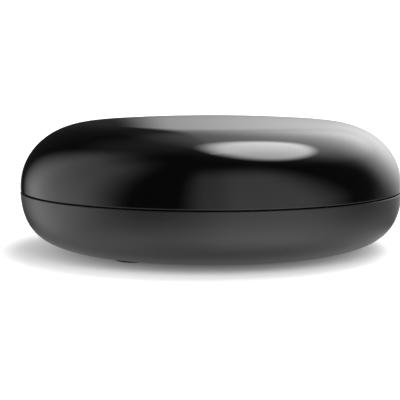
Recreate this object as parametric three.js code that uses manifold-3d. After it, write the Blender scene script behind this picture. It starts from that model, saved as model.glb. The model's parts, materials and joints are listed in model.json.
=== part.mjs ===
// Pebble-shaped streaming media player: a turned two-shell case on three rubber feet, a flat port panel at the
// rear, and a round circuit board with its connectors, heat sink, radio, antennas and pairing button.
// Sizes are millimetres, +Z is up, the front faces -Y and the ports face +Y. The origin is on the floor under the
// centre of the case.
import * as THREE from "three";
import { mergeVertices } from "three/addons/utils/BufferGeometryUtils.js";
import Module from "manifold-3d";

const wasm = await Module();
wasm.setup();

// ---- Case: the pebble's outline ------------------------------------------------------------------------------
const BODY_RADIUS = 60; // at the widest level
const CROWN_Z = 41.2; // floor to the top of the dome
const WIDEST_Z = 19.8; // floor to the widest level
const UNDERSIDE_Z = 0.8; // floor to the flat underside
const CROWN_SPHERE_RADIUS = 530; // the nearly flat top is part of this sphere
const SHOULDER_WIDTH = 21.5; // widest level in to the edge of the crown
const SHOULDER_RISE = 10.5; // how far the shoulder climbs straight up before it turns
const SHOULDER_REACH = 13; // how far the crown's slope runs out into the shoulder
const BELLY_WIDTH = 23.5; // widest level in to the edge of the flat underside
const BELLY_DROP = 15.4; // how far the belly falls straight down before it turns
const BELLY_REACH = 14.6; // how far the underside runs out into the belly
const WALL = 2.2;
const CASE_SIDES = 56;
const OUTSIDE_STEPS = 10; // straight steps along each outside curve
const INSIDE_STEPS = 7;

// ---- Case: the joint between the shells ------------------------------------------------------------------------
const SEAM_Z = 18.7;
const SEAM_GAP = 0.4;
const LIP_THICKNESS = 1.1;
const LIP_CLEARANCE = 0.3;
const LIP_DEPTH = 3.2; // below the lower shell's edge
const LIP_HEIGHT = 2.4; // above the lower shell's edge, inside the upper shell

// ---- Clearances --------------------------------------------------------------------------------------------------
const FIT_GAP = 0.3; // between moulded pieces that seat on each other
const SLIP_GAP = 0.1; // between a stamped shell and the insert in it
const GLUE_GAP = 0.1; // adhesive film

// ---- Feet and case screws ----------------------------------------------------------------------------------------
const FOOT_CIRCLE = BODY_RADIUS - 25;
const FOOT_RADIUS = 6.25;
const FOOT_SEAT = 0.6; // depth of the recess that a foot is stuck into
const FOOT_GAP = 0.15; // around the foot in its recess
const LOWER_BOSS_RADIUS = 4;
const LOWER_BOSS_TOP = 12;
const UPPER_BOSS_RADIUS = 3.5;
const UPPER_BOSS_ROOT_RADIUS = 4.2;
const SCREW_SHANK_RADIUS = 1.4;
const SCREW_HEAD_RADIUS = 2.6;
const SCREW_HEAD_HEIGHT = 1.6;
const SCREW_HEAD_SEAT = 5; // floor to the shoulder that the head pulls on
const SCREW_LENGTH = 17;
const PILOT_CLEARANCE = 0.2;
const WELL_CLEARANCE = 0.4;
const SUPPORTS = [
  { name: "front", angle: -90 },
  { name: "rear_right", angle: 30 },
  { name: "rear_left", angle: 150 },
];

// ---- Underside ---------------------------------------------------------------------------------------------------
const VENT_INNER = FOOT_CIRCLE - 7;
const VENT_OUTER = FOOT_CIRCLE;
const VENT_WIDTH = 1.6;
const VENTS_PER_GROUP = 4;
const VENT_STEP = 14; // degrees
const BALLAST_RADIUS = 20.5;
const BALLAST_THICKNESS = 2;
const LABEL_RADIUS = 20;
const LABEL_THICKNESS = 0.14;

// ---- Circuit board -----------------------------------------------------------------------------------------------
const STANDOFF_HEIGHT = 2.6;
const STANDOFF_RADIUS = 2.6;
const BOARD_THICKNESS = 1.6;
const BOARD_CLEARANCE = 0.8;
const BOARD_SCREWS = [
  { name: "left", x: -30, y: -34 },
  { name: "right", x: 30, y: -34 },
  { name: "rear", x: 0, y: 24 },
];
const BOARD_SCREW_RADIUS = 0.9;
const BOARD_SCREW_HEAD_RADIUS = 2.2;
const BOARD_SCREW_HEAD_HEIGHT = 1.4;
const BOARD_SCREW_LENGTH = 3.6;

// ---- Rear port panel ---------------------------------------------------------------------------------------------
const PORT_ROW_HALF = 30.5; // half the width that the row of connectors needs
const PANEL_THICKNESS = 1.8;
const BROW_THICKNESS = 1.6; // the shelf that closes the bay under the upper shell
const SOCKET_SETBACK = 0.6; // mouth of the HDMI and USB-C sockets behind the panel's face
const PANEL_RIB = { halfWidth: 18, thickness: 1.2, height: 2.1 };

// ---- Connectors, each placed by its centre along the row ----------------------------------------------------------
const HDMI = { x: 3.9, width: 13.9, height: 4.5, corner: 2.3, sheet: 0.3, depth: 11.5, tongue: [11, 1.1] };
const USB_C = { x: 20.6, width: 8.34, height: 2.6, sheet: 0.3, depth: 7.3, tongue: [6.7, 0.7] };
const SOCKET_BLOCK = 2.4; // solid rear part of the HDMI and USB-C inserts
const TONGUE_SETBACK = 1; // tongue's end behind the socket's mouth
const ETHERNET = { x: -13, width: 16, height: 10.6, depth: 21, sheet: 0.3 };
const ETHERNET_CAVITY = { width: 11.7, bottom: 2.3, height: 6.8, depth: 13.5 };
const LATCH_SLOT = { width: 6.3, height: 1.6 };
const ETHERNET_PINS = { count: 8, pitch: 1.02, width: 0.45, thickness: 0.35, reach: 8.9, drop: 1.2 };
const OPTICAL = { x: -26.2, width: 9.7, height: 9.4, depth: 13.4, wall: 0.85, cavityDepth: 9.5 };
const SHUTTER = { thickness: 0.6, sideGap: 0.3, knuckleRadius: 0.45, pinRadius: 0.3, holeRadius: 0.5 };
const SHUTTER_INSET = 1.1; // hinge line behind the socket's mouth
const EMITTER_RADIUS = 1.5;

// ---- Pairing button and its switch --------------------------------------------------------------------------------
const BUTTON = { x: 29.6, heightOverBoard: 3.4, radius: 2.2, gap: 0.3, proud: 0.5, flange: 3.2, flangeThickness: 0.8 };
const BUTTON_STEM_RADIUS = 1.1;
const SWITCH = { width: 6, height: 7, depth: 3.6, inset: 4.5, plungerRadius: 1.75, plungerProud: 1.2 };
const PLUNGER_SUNK = 0.6;
const PLUNGER_POCKET = 1.2;
const PLUNGER_GAP = 0.2;

// ---- Processor stack -----------------------------------------------------------------------------------------------
const SHIELD = { width: 34, depth: 32, height: 2.6, sheet: 0.3 };
const PROCESSOR = { x: -7, side: 16, height: 1.2 };
const PROCESSOR_PAD_SIDE = 14;
const MEMORY = { x: 9.5, y: 8, size: [9, 13, 1] }; // x and both ys from the stack's centre
const SINK_PAD = { width: 30, depth: 28, thickness: 0.8 };
const SINK = { width: 48, base: 2.5, finHeight: 13, finThickness: 1.2, finCount: 11, finPitch: 4.2 };
const SINK_FRONT_GAP = 3.8; // to the front boss
const SINK_REAR_GAP = 1.9; // to the Ethernet jack
const FIN_END_MARGIN = 1;
const SINK_PIN = { inset: [3.5, 4], shank: 1.1, hole: 1.5, head: 2.6, headHeight: 1, headOverBase: 4.5 };
const SINK_PIN_ROOM = 3.2; // radius that the fins leave round a pin
const SINK_PIN_BARB = { radius: 1.7, height: 0.55 };
const SPRING = { radius: 1.9, wire: 0.3, turns: 4, stepsPerTurn: 12 };

// ---- Smaller parts on the board -------------------------------------------------------------------------------------
const CHIPS = [
  { name: "storage_chip", x: 36, y: -15, size: [11.5, 13, 1] },
  { name: "crystal", x: -24, y: 0, size: [3.2, 2.5, 0.8] },
];
const RADIO = { x: -36, y: -12, side: 14, height: 1.8 };
const COILS = [
  { name: "power_coil_front", x: 30, y: -1 },
  { name: "power_coil_rear", x: 30, y: 8 },
];
const COIL = { side: 7, height: 3, drumRadius: 2.4, drumHeight: 0.4 };
const ETHERNET_CHIP = { fromBoss: [-4.7, 8], size: [7, 7, 0.9] }; // beside the rear left boss
// Each capacitor stands beside the rear right boss, at this offset from it.
const CAPACITORS = [
  { name: "capacitor_rear", fromBoss: [5.7, 9.5] },
  { name: "capacitor_middle", fromBoss: [10.2, -0.5] },
  { name: "capacitor_front", fromBoss: [10.2, -10.5] },
];
const CAPACITOR = { radius: 3.15, height: 7.7, foot: 6.6, footHeight: 1, neck: 0.25, neckZ: 1.9 };

// ---- Front: infrared receiver, status light and its light pipe -------------------------------------------------------
const INFRARED = { x: 7, fromEdge: 4.9, width: 5, depth: 3.4, height: 6, lens: 1.8 };
const STATUS_LED = { x: -7, fromEdge: 4.4, width: 3.2, depth: 2.8, height: 1.2 };
const LIGHT_PIPE = { width: 3.2, thickness: 3, bevel: 2 };

// ---- Antennas and their coaxial leads -------------------------------------------------------------------------------
const ANTENNA = { halfLength: 15, overLip: 1.6, height: 8.5, thickness: 0.5 };
const ANTENNAS = [
  { name: "left", angle: 196, plug: [-3.6, 3.6] },
  { name: "right", angle: -16, plug: [-3.6, -3.6] },
];
const ANTENNA_PLUG = { radius: 1.3, height: 1.2 };
const LEAD = { radius: 0.55, sides: 8, start: 0.3 }; // starts this far from its plug's rim
// Each lead's way round the case: [degrees, gap to the inside of the wall, height over the board]
const LEAD_ROUTES = {
  left: {
    leaves: 180,
    way: [
      [191.2, 9.3, 2.9],
      [192, 6.4, 6.4],
      [193.4, 5.2, 11],
      [195, 4.2, 14.6],
    ],
    steps: 14,
  },
  right: {
    leaves: -90,
    way: [
      [217.5, 7.3, 2],
      [231.5, 4.8, 1.6],
      [249, 10.8, 1.2],
      [270, 12.6, 1.2],
      [291, 11, 1.2],
      [308, 5.4, 1.8],
      [323, 5, 4.4],
      [334.5, 4.4, 9],
      [341.5, 4, 13.6],
    ],
    steps: 44,
  },
};
const LEAD_END = { height: 2.1, gap: 0.3 }; // where a lead meets its antenna

// ---- Finishes --------------------------------------------------------------------------------------------------------
const finish = (color, roughness, metalness) =>
  new THREE.MeshStandardMaterial({ color, roughness, metalness });
const FINISH = {
  glossBlack: finish(0x050506, 0.08, 0),
  satinBlack: finish(0x1c1c1e, 0.45, 0),
  rubber: finish(0x0b0b0c, 0.8, 0),
  steel: finish(0x9a9c9f, 0.35, 1),
  tin: finish(0xb9bbbd, 0.3, 1),
  aluminium: finish(0xa8abaf, 0.4, 1),
  board: finish(0x123d2a, 0.5, 0),
  chip: finish(0x151516, 0.55, 0),
  connectorBlack: finish(0x0d0d0e, 0.5, 0),
  gold: finish(0xc79a3a, 0.3, 1),
  thermalPad: finish(0x8f9bb0, 0.85, 0),
  clear: finish(0xe6ebee, 0.1, 0),
  ledYellow: finish(0xe8d27a, 0.4, 0),
  ferrite: finish(0x3a3a3c, 0.7, 0),
  labelGrey: finish(0x6c6d70, 0.6, 0),
  copper: finish(0xb0704a, 0.4, 1),
};

// ---- Solid tools -----------------------------------------------------------------------------------------------------

// A closed geometry as a manifold solid, with its shared vertices merged.
function solid(geometry) {
  const bare = geometry.clone();
  bare.deleteAttribute("normal");
  bare.deleteAttribute("uv");
  const merged = mergeVertices(bare, 1e-4);
  return new wasm.Manifold(
    new wasm.Mesh({
      numProp: 3,
      vertProperties: merged.attributes.position.array,
      triVerts: new Uint32Array(merged.index.array),
    }),
  );
}

// A manifold solid as a geometry that a mesh can carry.
function geometryOf(body) {
  const { vertProperties, triVerts } = body.getMesh();
  const geometry = new THREE.BufferGeometry();
  geometry.setAttribute("position", new THREE.BufferAttribute(new Float32Array(vertProperties), 3));
  geometry.setIndex(new THREE.BufferAttribute(new Uint32Array(triVerts), 1));
  geometry.computeVertexNormals();
  return geometry;
}

const joined = (first, ...others) => others.reduce((sum, body) => sum.add(body), first);
const cut = (first, ...others) => others.reduce((rest, body) => rest.subtract(body), first);

// A box from its limits along each axis.
function block([x0, x1], [y0, y1], [z0, z1]) {
  return new THREE.BoxGeometry(x1 - x0, y1 - y0, z1 - z0).translate(
    (x0 + x1) / 2,
    (y0 + y1) / 2,
    (z0 + z1) / 2,
  );
}

// An upright cylinder or cone standing at x, y.
function post(x, y, [z0, z1], bottomRadius, topRadius = bottomRadius, sides = 24) {
  return new THREE.CylinderGeometry(topRadius, bottomRadius, z1 - z0, sides)
    .rotateX(Math.PI / 2)
    .translate(x, y, (z0 + z1) / 2);
}

// A cylinder lying along Y.
const rodAlongY = (x, z, [y0, y1], radius, sides = 24) =>
  new THREE.CylinderGeometry(radius, radius, y1 - y0, sides).translate(x, (y0 + y1) / 2, z);

// A cylinder lying along X.
const rodAlongX = (y, z, [x0, x1], radius, sides = 16) =>
  new THREE.CylinderGeometry(radius, radius, x1 - x0, sides)
    .rotateZ(Math.PI / 2)
    .translate((x0 + x1) / 2, y, z);

// A body turned about Z from points of (radius, height) that run from the axis, round the outside, to the axis.
function turned(profile, sides = CASE_SIDES) {
  return new THREE.LatheGeometry(profile, sides).rotateX(Math.PI / 2);
}

// A flat outline in X and Y raised from z0 to z1.
function raised(shape, [z0, z1], curveSegments = 8) {
  return new THREE.ExtrudeGeometry(shape, {
    depth: z1 - z0,
    bevelEnabled: false,
    curveSegments,
  }).translate(0, 0, z0);
}

// An outline in X and Z carried along Y from y0 to y1.
function alongY(shape, [y0, y1], curveSegments = 8) {
  return new THREE.ExtrudeGeometry(shape, { depth: y1 - y0, bevelEnabled: false, curveSegments })
    .rotateX(Math.PI / 2)
    .translate(0, y1, 0);
}

const polar = (radius, degrees) => [
  radius * Math.cos(THREE.MathUtils.degToRad(degrees)),
  radius * Math.sin(THREE.MathUtils.degToRad(degrees)),
];

// ---- Case outline ----------------------------------------------------------------------------------------------------

// The outside of the case, from the axis under the floor, round the belly and shoulder, to the axis on top.
function caseOutline(steps) {
  const point = (r, z) => new THREE.Vector2(r, z);
  const underEdge = BODY_RADIUS - BELLY_WIDTH;
  const crownEdge = BODY_RADIUS - SHOULDER_WIDTH;
  const crownTilt = Math.asin(crownEdge / CROWN_SPHERE_RADIUS);
  const crownDrop = CROWN_SPHERE_RADIUS * (1 - Math.cos(crownTilt));
  const belly = new THREE.CubicBezierCurve(
    point(underEdge, UNDERSIDE_Z),
    point(underEdge + BELLY_REACH, UNDERSIDE_Z),
    point(BODY_RADIUS, WIDEST_Z - BELLY_DROP),
    point(BODY_RADIUS, WIDEST_Z),
  );
  const shoulder = new THREE.CubicBezierCurve(
    point(BODY_RADIUS, WIDEST_Z),
    point(BODY_RADIUS, WIDEST_Z + SHOULDER_RISE),
    point(
      crownEdge + SHOULDER_REACH * Math.cos(crownTilt),
      CROWN_Z - crownDrop - SHOULDER_REACH * Math.sin(crownTilt),
    ),
    point(crownEdge, CROWN_Z - crownDrop),
  );
  const crown = [0.7, 0.4].map((share) => {
    const tilt = crownTilt * share;
    return point(
      CROWN_SPHERE_RADIUS * Math.sin(tilt),
      CROWN_Z - CROWN_SPHERE_RADIUS * (1 - Math.cos(tilt)),
    );
  });
  return [
    point(0, UNDERSIDE_Z),
    ...belly.getPoints(steps),
    ...shoulder.getPoints(steps).slice(1),
    ...crown,
    point(0, CROWN_Z),
  ];
}

// The same outline moved inwards by a distance, each point along the bisector of its two edges.
function inset(outline, distance) {
  const last = outline.length - 1;
  return outline.map((point, i) => {
    if (i === 0) return new THREE.Vector2(0, point.y + distance);
    if (i === last) return new THREE.Vector2(0, point.y - distance);
    const before = point.clone().sub(outline[i - 1]).normalize();
    const after = outline[i + 1].clone().sub(point).normalize();
    const inward = new THREE.Vector2(-before.y - after.y, before.x + after.x).normalize();
    const mitre = distance / (inward.x * -before.y + inward.y * before.x);
    return point.clone().addScaledVector(inward, mitre);
  });
}

// The outline's radius at a height above the floor.
function radiusAt(outline, z) {
  const above = outline.findIndex((point, i) => i > 1 && point.y >= z);
  const [low, high] = [outline[above - 1], outline[above]];
  return THREE.MathUtils.mapLinear(z, low.y, high.y, low.x, high.x);
}

const outerOutline = caseOutline(OUTSIDE_STEPS);
const insideOutline = (distance) => inset(caseOutline(INSIDE_STEPS), distance);
const innerOutline = insideOutline(WALL);
const outerBody = solid(turned(outerOutline));
const innerBody = solid(turned(innerOutline));
const FAR = 3 * (BODY_RADIUS + CROWN_Z); // beyond every piece, for cutting

// ---- Levels and places that follow from the case -----------------------------------------------------------------------
const LOWER_EDGE_Z = SEAM_Z - SEAM_GAP / 2;
const UPPER_EDGE_Z = SEAM_Z + SEAM_GAP / 2;
const FLOOR_TOP = UNDERSIDE_Z + WALL;
const BOARD_BOTTOM = FLOOR_TOP + STANDOFF_HEIGHT;
const BOARD_TOP = BOARD_BOTTOM + BOARD_THICKNESS;
const BOARD_RADIUS = radiusAt(innerOutline, BOARD_BOTTOM) - BOARD_CLEARANCE;
const FACE_Y = Math.sqrt(radiusAt(innerOutline, BOARD_TOP) ** 2 - PORT_ROW_HALF ** 2);
const PANEL_BACK_Y = FACE_Y - PANEL_THICKNESS;
const BOARD_REAR_Y = PANEL_BACK_Y - 2 * FIT_GAP;
const SOCKET_MOUTH_Y = FACE_Y - SOCKET_SETBACK; // HDMI and USB-C stand in the panel's holes
const JACK_MOUTH_Y = PANEL_BACK_Y - FIT_GAP; // Ethernet and optical stand behind the panel
const LIP_TOP = LOWER_EDGE_Z + LIP_HEIGHT;
const narrowestAtLip = Math.min(radiusAt(innerOutline, UPPER_EDGE_Z), radiusAt(innerOutline, LIP_TOP));
const LIP_OUTER = narrowestAtLip - LIP_CLEARANCE;
const LIP_INNER = LIP_OUTER - LIP_THICKNESS;
const ANTENNA_BOTTOM = LIP_TOP + ANTENNA.overLip;
const FOOT_TOP = UNDERSIDE_Z + FOOT_SEAT;
const SINK_FRONT_Y = UPPER_BOSS_ROOT_RADIUS + SINK_FRONT_GAP - FOOT_CIRCLE;
const SINK_REAR_Y = JACK_MOUTH_Y - ETHERNET.depth - SINK_REAR_GAP;
const SINK_DEPTH = SINK_REAR_Y - SINK_FRONT_Y;
const STACK_Y = (SINK_FRONT_Y + SINK_REAR_Y) / 2; // the stack's centre is on the case's middle line
const INFRARED_Y = INFRARED.fromEdge - BOARD_RADIUS;
const STATUS_LED_Y = STATUS_LED.fromEdge - BOARD_RADIUS;
const supportPlaces = SUPPORTS.map(({ name, angle }) => {
  const [x, y] = polar(FOOT_CIRCLE, angle);
  return { name, angle, x, y };
});

// ---- Case pieces -------------------------------------------------------------------------------------------------------

// A ring of uniform section.
const ring = (inner, outer, levels) =>
  solid(post(0, 0, levels, outer, outer, CASE_SIDES)).subtract(
    solid(post(0, 0, [levels[0] - 1, levels[1] + 1], inner, inner, CASE_SIDES)),
  );

// Short radial slots through the floor, in three groups between the feet.
function ventSlots() {
  const half = VENT_WIDTH / 2;
  const slot = new THREE.Shape();
  slot.absarc(VENT_OUTER - half, 0, half, -Math.PI / 2, Math.PI / 2);
  slot.absarc(VENT_INNER + half, 0, half, Math.PI / 2, (3 * Math.PI) / 2);
  const slots = [];
  for (const { angle } of SUPPORTS) {
    for (let i = 0; i < VENTS_PER_GROUP; i++) {
      const turn = angle + 60 + (i - (VENTS_PER_GROUP - 1) / 2) * VENT_STEP;
      const body = raised(slot, [0, FLOOR_TOP + 1], 2).rotateZ(THREE.MathUtils.degToRad(turn));
      slots.push(solid(body));
    }
  }
  return slots;
}

function lowerShell() {
  const bowl = cut(
    outerBody.subtract(innerBody),
    solid(block([-FAR, FAR], [-FAR, FAR], [LOWER_EDGE_Z, FAR])),
  );
  const wallAtLip = radiusAt(innerOutline, LOWER_EDGE_Z - LIP_DEPTH) + WALL / 2;
  const lip = joined(
    ring(LIP_INNER, wallAtLip, [LOWER_EDGE_Z - LIP_DEPTH, LOWER_EDGE_Z]).intersect(outerBody),
    ring(LIP_INNER, LIP_OUTER, [LOWER_EDGE_Z - LIP_DEPTH, LIP_TOP]),
  ).subtract(solid(block([-FAR, FAR], [JACK_MOUTH_Y, FAR], [0, FAR])));
  const bosses = supportPlaces.map(({ x, y }) =>
    solid(post(x, y, [FOOT_TOP + WALL / 4, LOWER_BOSS_TOP], LOWER_BOSS_RADIUS)),
  );
  const standoffs = BOARD_SCREWS.map(({ x, y }) =>
    solid(post(x, y, [UNDERSIDE_Z + WALL / 2, BOARD_BOTTOM], STANDOFF_RADIUS, STANDOFF_RADIUS, 16)).intersect(
      outerBody,
    ),
  );
  const rib = solid(
    block(
      [-PANEL_RIB.halfWidth, PANEL_RIB.halfWidth],
      [JACK_MOUTH_Y - PANEL_RIB.thickness, JACK_MOUTH_Y],
      [UNDERSIDE_Z + WALL / 2, FLOOR_TOP + PANEL_RIB.height],
    ),
  ).intersect(outerBody);
  const wells = supportPlaces.flatMap(({ x, y }) => [
    solid(post(x, y, [-1, FOOT_TOP], FOOT_RADIUS + FOOT_GAP, undefined, 32)),
    solid(post(x, y, [0, SCREW_HEAD_SEAT], SCREW_HEAD_RADIUS + WELL_CLEARANCE)),
    solid(post(x, y, [0, LOWER_BOSS_TOP + 1], SCREW_SHANK_RADIUS + FIT_GAP)),
  ]);
  const pilots = BOARD_SCREWS.map(({ x, y }) =>
    solid(post(x, y, [FLOOR_TOP, BOARD_BOTTOM + 1], BOARD_SCREW_RADIUS + PILOT_CLEARANCE, undefined, 12)),
  );
  const rear = solid(block([-FAR, FAR], [FACE_Y, FAR], [-FAR, FAR]));
  return cut(joined(bowl, lip, ...bosses, ...standoffs, rib), rear, ...wells, ...pilots, ...ventSlots());
}

function upperShell() {
  const dome = cut(
    outerBody.subtract(innerBody),
    solid(block([-FAR, FAR], [-FAR, FAR], [-FAR, UPPER_EDGE_Z])),
  );
  const midWall = solid(turned(insideOutline(WALL / 2)));
  const bossBottom = LOWER_BOSS_TOP + FIT_GAP;
  const bosses = supportPlaces.map(({ x, y }) =>
    solid(post(x, y, [bossBottom, CROWN_Z], UPPER_BOSS_RADIUS, UPPER_BOSS_ROOT_RADIUS, 20)).intersect(midWall),
  );
  const pilotTop = SCREW_HEAD_SEAT + SCREW_LENGTH + 1;
  const pilots = supportPlaces.map(({ x, y }) =>
    solid(post(x, y, [0, pilotTop], SCREW_SHANK_RADIUS + PILOT_CLEARANCE, undefined, 16)),
  );
  return cut(joined(dome, ...bosses), ...pilots);
}

// The flat panel with the ports' holes, in one piece with the brow that closes the bay under the upper shell.
function portPanel() {
  const inside = solid(turned(insideOutline(WALL + FIT_GAP)));
  const plate = inside.intersect(
    solid(block([-FAR, FAR], [PANEL_BACK_Y, FACE_Y], [-FAR, LOWER_EDGE_Z])),
  );
  const browLevels = [LOWER_EDGE_Z - BROW_THICKNESS, LOWER_EDGE_Z];
  const brow = joined(
    outerBody.intersect(solid(block([-FAR, FAR], [FACE_Y + FIT_GAP, FAR], browLevels))),
    inside.intersect(solid(block([-FAR, FAR], [PANEL_BACK_Y, FAR], browLevels))),
  );
  const through = [PANEL_BACK_Y - 1, FACE_Y + 1];
  const ethernetLow = BOARD_TOP + ETHERNET_CAVITY.bottom;
  const ethernetHalf = ETHERNET_CAVITY.width / 2;
  const opticalHalf = OPTICAL.width / 2 - OPTICAL.wall;
  const opticalLevels = [BOARD_TOP + OPTICAL.wall, BOARD_TOP + OPTICAL.height - OPTICAL.wall];
  const holes = [
    alongY(hdmiOutline(HDMI.sheet + FIT_GAP), through),
    alongY(usbOutline(USB_C.sheet + FIT_GAP), through),
    block(
      [ETHERNET.x - ethernetHalf, ETHERNET.x + ethernetHalf],
      through,
      [ethernetLow, ethernetLow + ETHERNET_CAVITY.height],
    ),
    block(
      [ETHERNET.x - LATCH_SLOT.width / 2, ETHERNET.x + LATCH_SLOT.width / 2],
      through,
      [ethernetLow - LATCH_SLOT.height, ethernetLow + 1],
    ),
    block([OPTICAL.x - opticalHalf, OPTICAL.x + opticalHalf], through, opticalLevels),
    rodAlongY(BUTTON.x, BUTTON_Z, through, BUTTON.radius + BUTTON.gap),
  ];
  return cut(joined(plate, brow), ...holes.map(solid));
}

// ---- Fasteners, feet and base plates ------------------------------------------------------------------------------------

// A pan-head screw standing on its head: the head's top is at z = 0 and the shank points up.
function screwProfile(headRadius, headHeight, shankRadius, length) {
  const point = (r, z) => new THREE.Vector2(r, z);
  const tip = 1.2 * shankRadius;
  return [
    point(0, 0),
    point(0.7 * headRadius, 0),
    point(headRadius, 0.45 * headHeight),
    point(headRadius, headHeight),
    point(shankRadius, headHeight),
    point(shankRadius, headHeight + length - tip),
    point(0.35 * shankRadius, headHeight + length),
    point(0, headHeight + length),
  ];
}

// The head's cross recess is two crossed slots, cut to half the head's height.
function crossScrew(headRadius, headHeight, shankRadius, length, sides) {
  const arm = 0.55 * headRadius;
  const slot = 0.12 * headRadius;
  const depth = 0.5 * headHeight;
  return cut(
    solid(turned(screwProfile(headRadius, headHeight, shankRadius, length), sides)),
    solid(block([-arm, arm], [-slot, slot], [-1, depth])),
    solid(block([-slot, slot], [-arm, arm], [-1, depth])),
  );
}

const footProfile = () => {
  const point = (r, z) => new THREE.Vector2(r, z);
  const edge = 0.3; // softened rim where the foot meets the table
  return [
    point(0, 0),
    point(FOOT_RADIUS - edge, 0),
    point(FOOT_RADIUS, edge),
    point(FOOT_RADIUS, FOOT_TOP - GLUE_GAP),
    point(0, FOOT_TOP - GLUE_GAP),
  ];
};

// ---- Circuit board -------------------------------------------------------------------------------------------------------

const pinOffset = [SINK.width / 2 - SINK_PIN.inset[0], SINK_DEPTH / 2 - SINK_PIN.inset[1]];
const pinPlaces = [
  { name: "rear", x: pinOffset[0], y: STACK_Y + pinOffset[1] },
  { name: "front", x: -pinOffset[0], y: STACK_Y - pinOffset[1] },
];

// A round board with a straight rear edge and holes for the bosses, screws and heat-sink pins.
function mainBoard() {
  const hole = (radius, sides) => ({ x, y }) =>
    solid(post(x, y, [0, BOARD_TOP + 1], radius, undefined, sides));
  return cut(
    solid(post(0, 0, [BOARD_BOTTOM, BOARD_TOP], BOARD_RADIUS, undefined, CASE_SIDES)),
    solid(block([-FAR, FAR], [BOARD_REAR_Y, FAR], [0, FAR])),
    ...supportPlaces.map(hole(LOWER_BOSS_RADIUS + 2 * FIT_GAP, 24)),
    ...BOARD_SCREWS.map(hole(BOARD_SCREW_RADIUS + FIT_GAP, 16)),
    ...pinPlaces.map(hole(SINK_PIN.hole, 16)),
  );
}

// ---- Connectors ------------------------------------------------------------------------------------------------------------

// The HDMI mouth: a rectangle whose lower corners are cut off, grown by a margin on every side.
function hdmiOutline(margin) {
  const half = HDMI.width / 2 + margin;
  const bottom = BOARD_TOP + HDMI.sheet - margin;
  const top = BOARD_TOP + HDMI.sheet + HDMI.height + margin;
  return new THREE.Shape([
    new THREE.Vector2(HDMI.x - half, top),
    new THREE.Vector2(HDMI.x - half, bottom + HDMI.corner),
    new THREE.Vector2(HDMI.x - half + HDMI.corner, bottom),
    new THREE.Vector2(HDMI.x + half - HDMI.corner, bottom),
    new THREE.Vector2(HDMI.x + half, bottom + HDMI.corner),
    new THREE.Vector2(HDMI.x + half, top),
  ]);
}

// The USB-C mouth: a slot with round ends, grown by a margin on every side.
function usbOutline(margin) {
  const radius = USB_C.height / 2 + margin;
  const centre = USB_C.width / 2 - USB_C.height / 2;
  const z = BOARD_TOP + USB_C.sheet + USB_C.height / 2;
  const outline = new THREE.Shape();
  outline.absarc(USB_C.x + centre, z, radius, -Math.PI / 2, Math.PI / 2);
  outline.absarc(USB_C.x - centre, z, radius, Math.PI / 2, (3 * Math.PI) / 2);
  return outline;
}

// A stamped tube of the given outline, open at both ends.
function socketShell(outline, port) {
  const back = SOCKET_MOUTH_Y - port.depth;
  return solid(alongY(outline(port.sheet), [back, SOCKET_MOUTH_Y])).subtract(
    solid(alongY(outline(0), [back - 1, SOCKET_MOUTH_Y + 1])),
  );
}

// The moulded insert: a block that closes the tube's rear, with the contact tongue standing out of it.
function socketInsert(outline, port) {
  const back = SOCKET_MOUTH_Y - port.depth;
  const z = BOARD_TOP + port.sheet + port.height / 2;
  const [width, thickness] = port.tongue;
  return joined(
    solid(alongY(outline(-SLIP_GAP), [back, back + SOCKET_BLOCK])),
    solid(
      block(
        [port.x - width / 2, port.x + width / 2],
        [back + SOCKET_BLOCK / 2, SOCKET_MOUTH_Y - TONGUE_SETBACK],
        [z - thickness / 2, z + thickness / 2],
      ),
    ),
  );
}

const ethernetBack = JACK_MOUTH_Y - ETHERNET.depth;
const ethernetCavityBottom = BOARD_TOP + ETHERNET_CAVITY.bottom;
const ethernetCavityTop = ethernetCavityBottom + ETHERNET_CAVITY.height;
const ethernetCavityBack = JACK_MOUTH_Y - ETHERNET_CAVITY.depth;

// The tinned steel can round the Ethernet jack, open towards the panel.
function ethernetShield() {
  const half = ETHERNET.width / 2;
  const inner = half - ETHERNET.sheet;
  return solid(
    block([ETHERNET.x - half, ETHERNET.x + half], [ethernetBack, JACK_MOUTH_Y], [
      BOARD_TOP,
      BOARD_TOP + ETHERNET.height,
    ]),
  ).subtract(
    solid(
      block([ETHERNET.x - inner, ETHERNET.x + inner], [ethernetBack + ETHERNET.sheet, JACK_MOUTH_Y + 1], [
        BOARD_TOP + ETHERNET.sheet,
        BOARD_TOP + ETHERNET.height - ETHERNET.sheet,
      ]),
    ),
  );
}

// The moulded body of the Ethernet jack, with the plug's cavity and the slot for its latch.
function ethernetBody() {
  const skin = ETHERNET.sheet + SLIP_GAP;
  const half = ETHERNET.width / 2 - skin;
  const body = block([ETHERNET.x - half, ETHERNET.x + half], [ethernetBack + skin, JACK_MOUTH_Y - SLIP_GAP], [
    BOARD_TOP + skin,
    BOARD_TOP + ETHERNET.height - skin,
  ]);
  const cavityHalf = ETHERNET_CAVITY.width / 2;
  const cavity = block(
    [ETHERNET.x - cavityHalf, ETHERNET.x + cavityHalf],
    [ethernetCavityBack, JACK_MOUTH_Y + 1],
    [ethernetCavityBottom, ethernetCavityTop],
  );
  const latch = block(
    [ETHERNET.x - LATCH_SLOT.width / 2, ETHERNET.x + LATCH_SLOT.width / 2],
    [ethernetCavityBack, JACK_MOUTH_Y + 1],
    [ethernetCavityBottom - LATCH_SLOT.height, ethernetCavityBottom + 1],
  );
  return cut(solid(body), solid(cavity), solid(latch));
}

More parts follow.
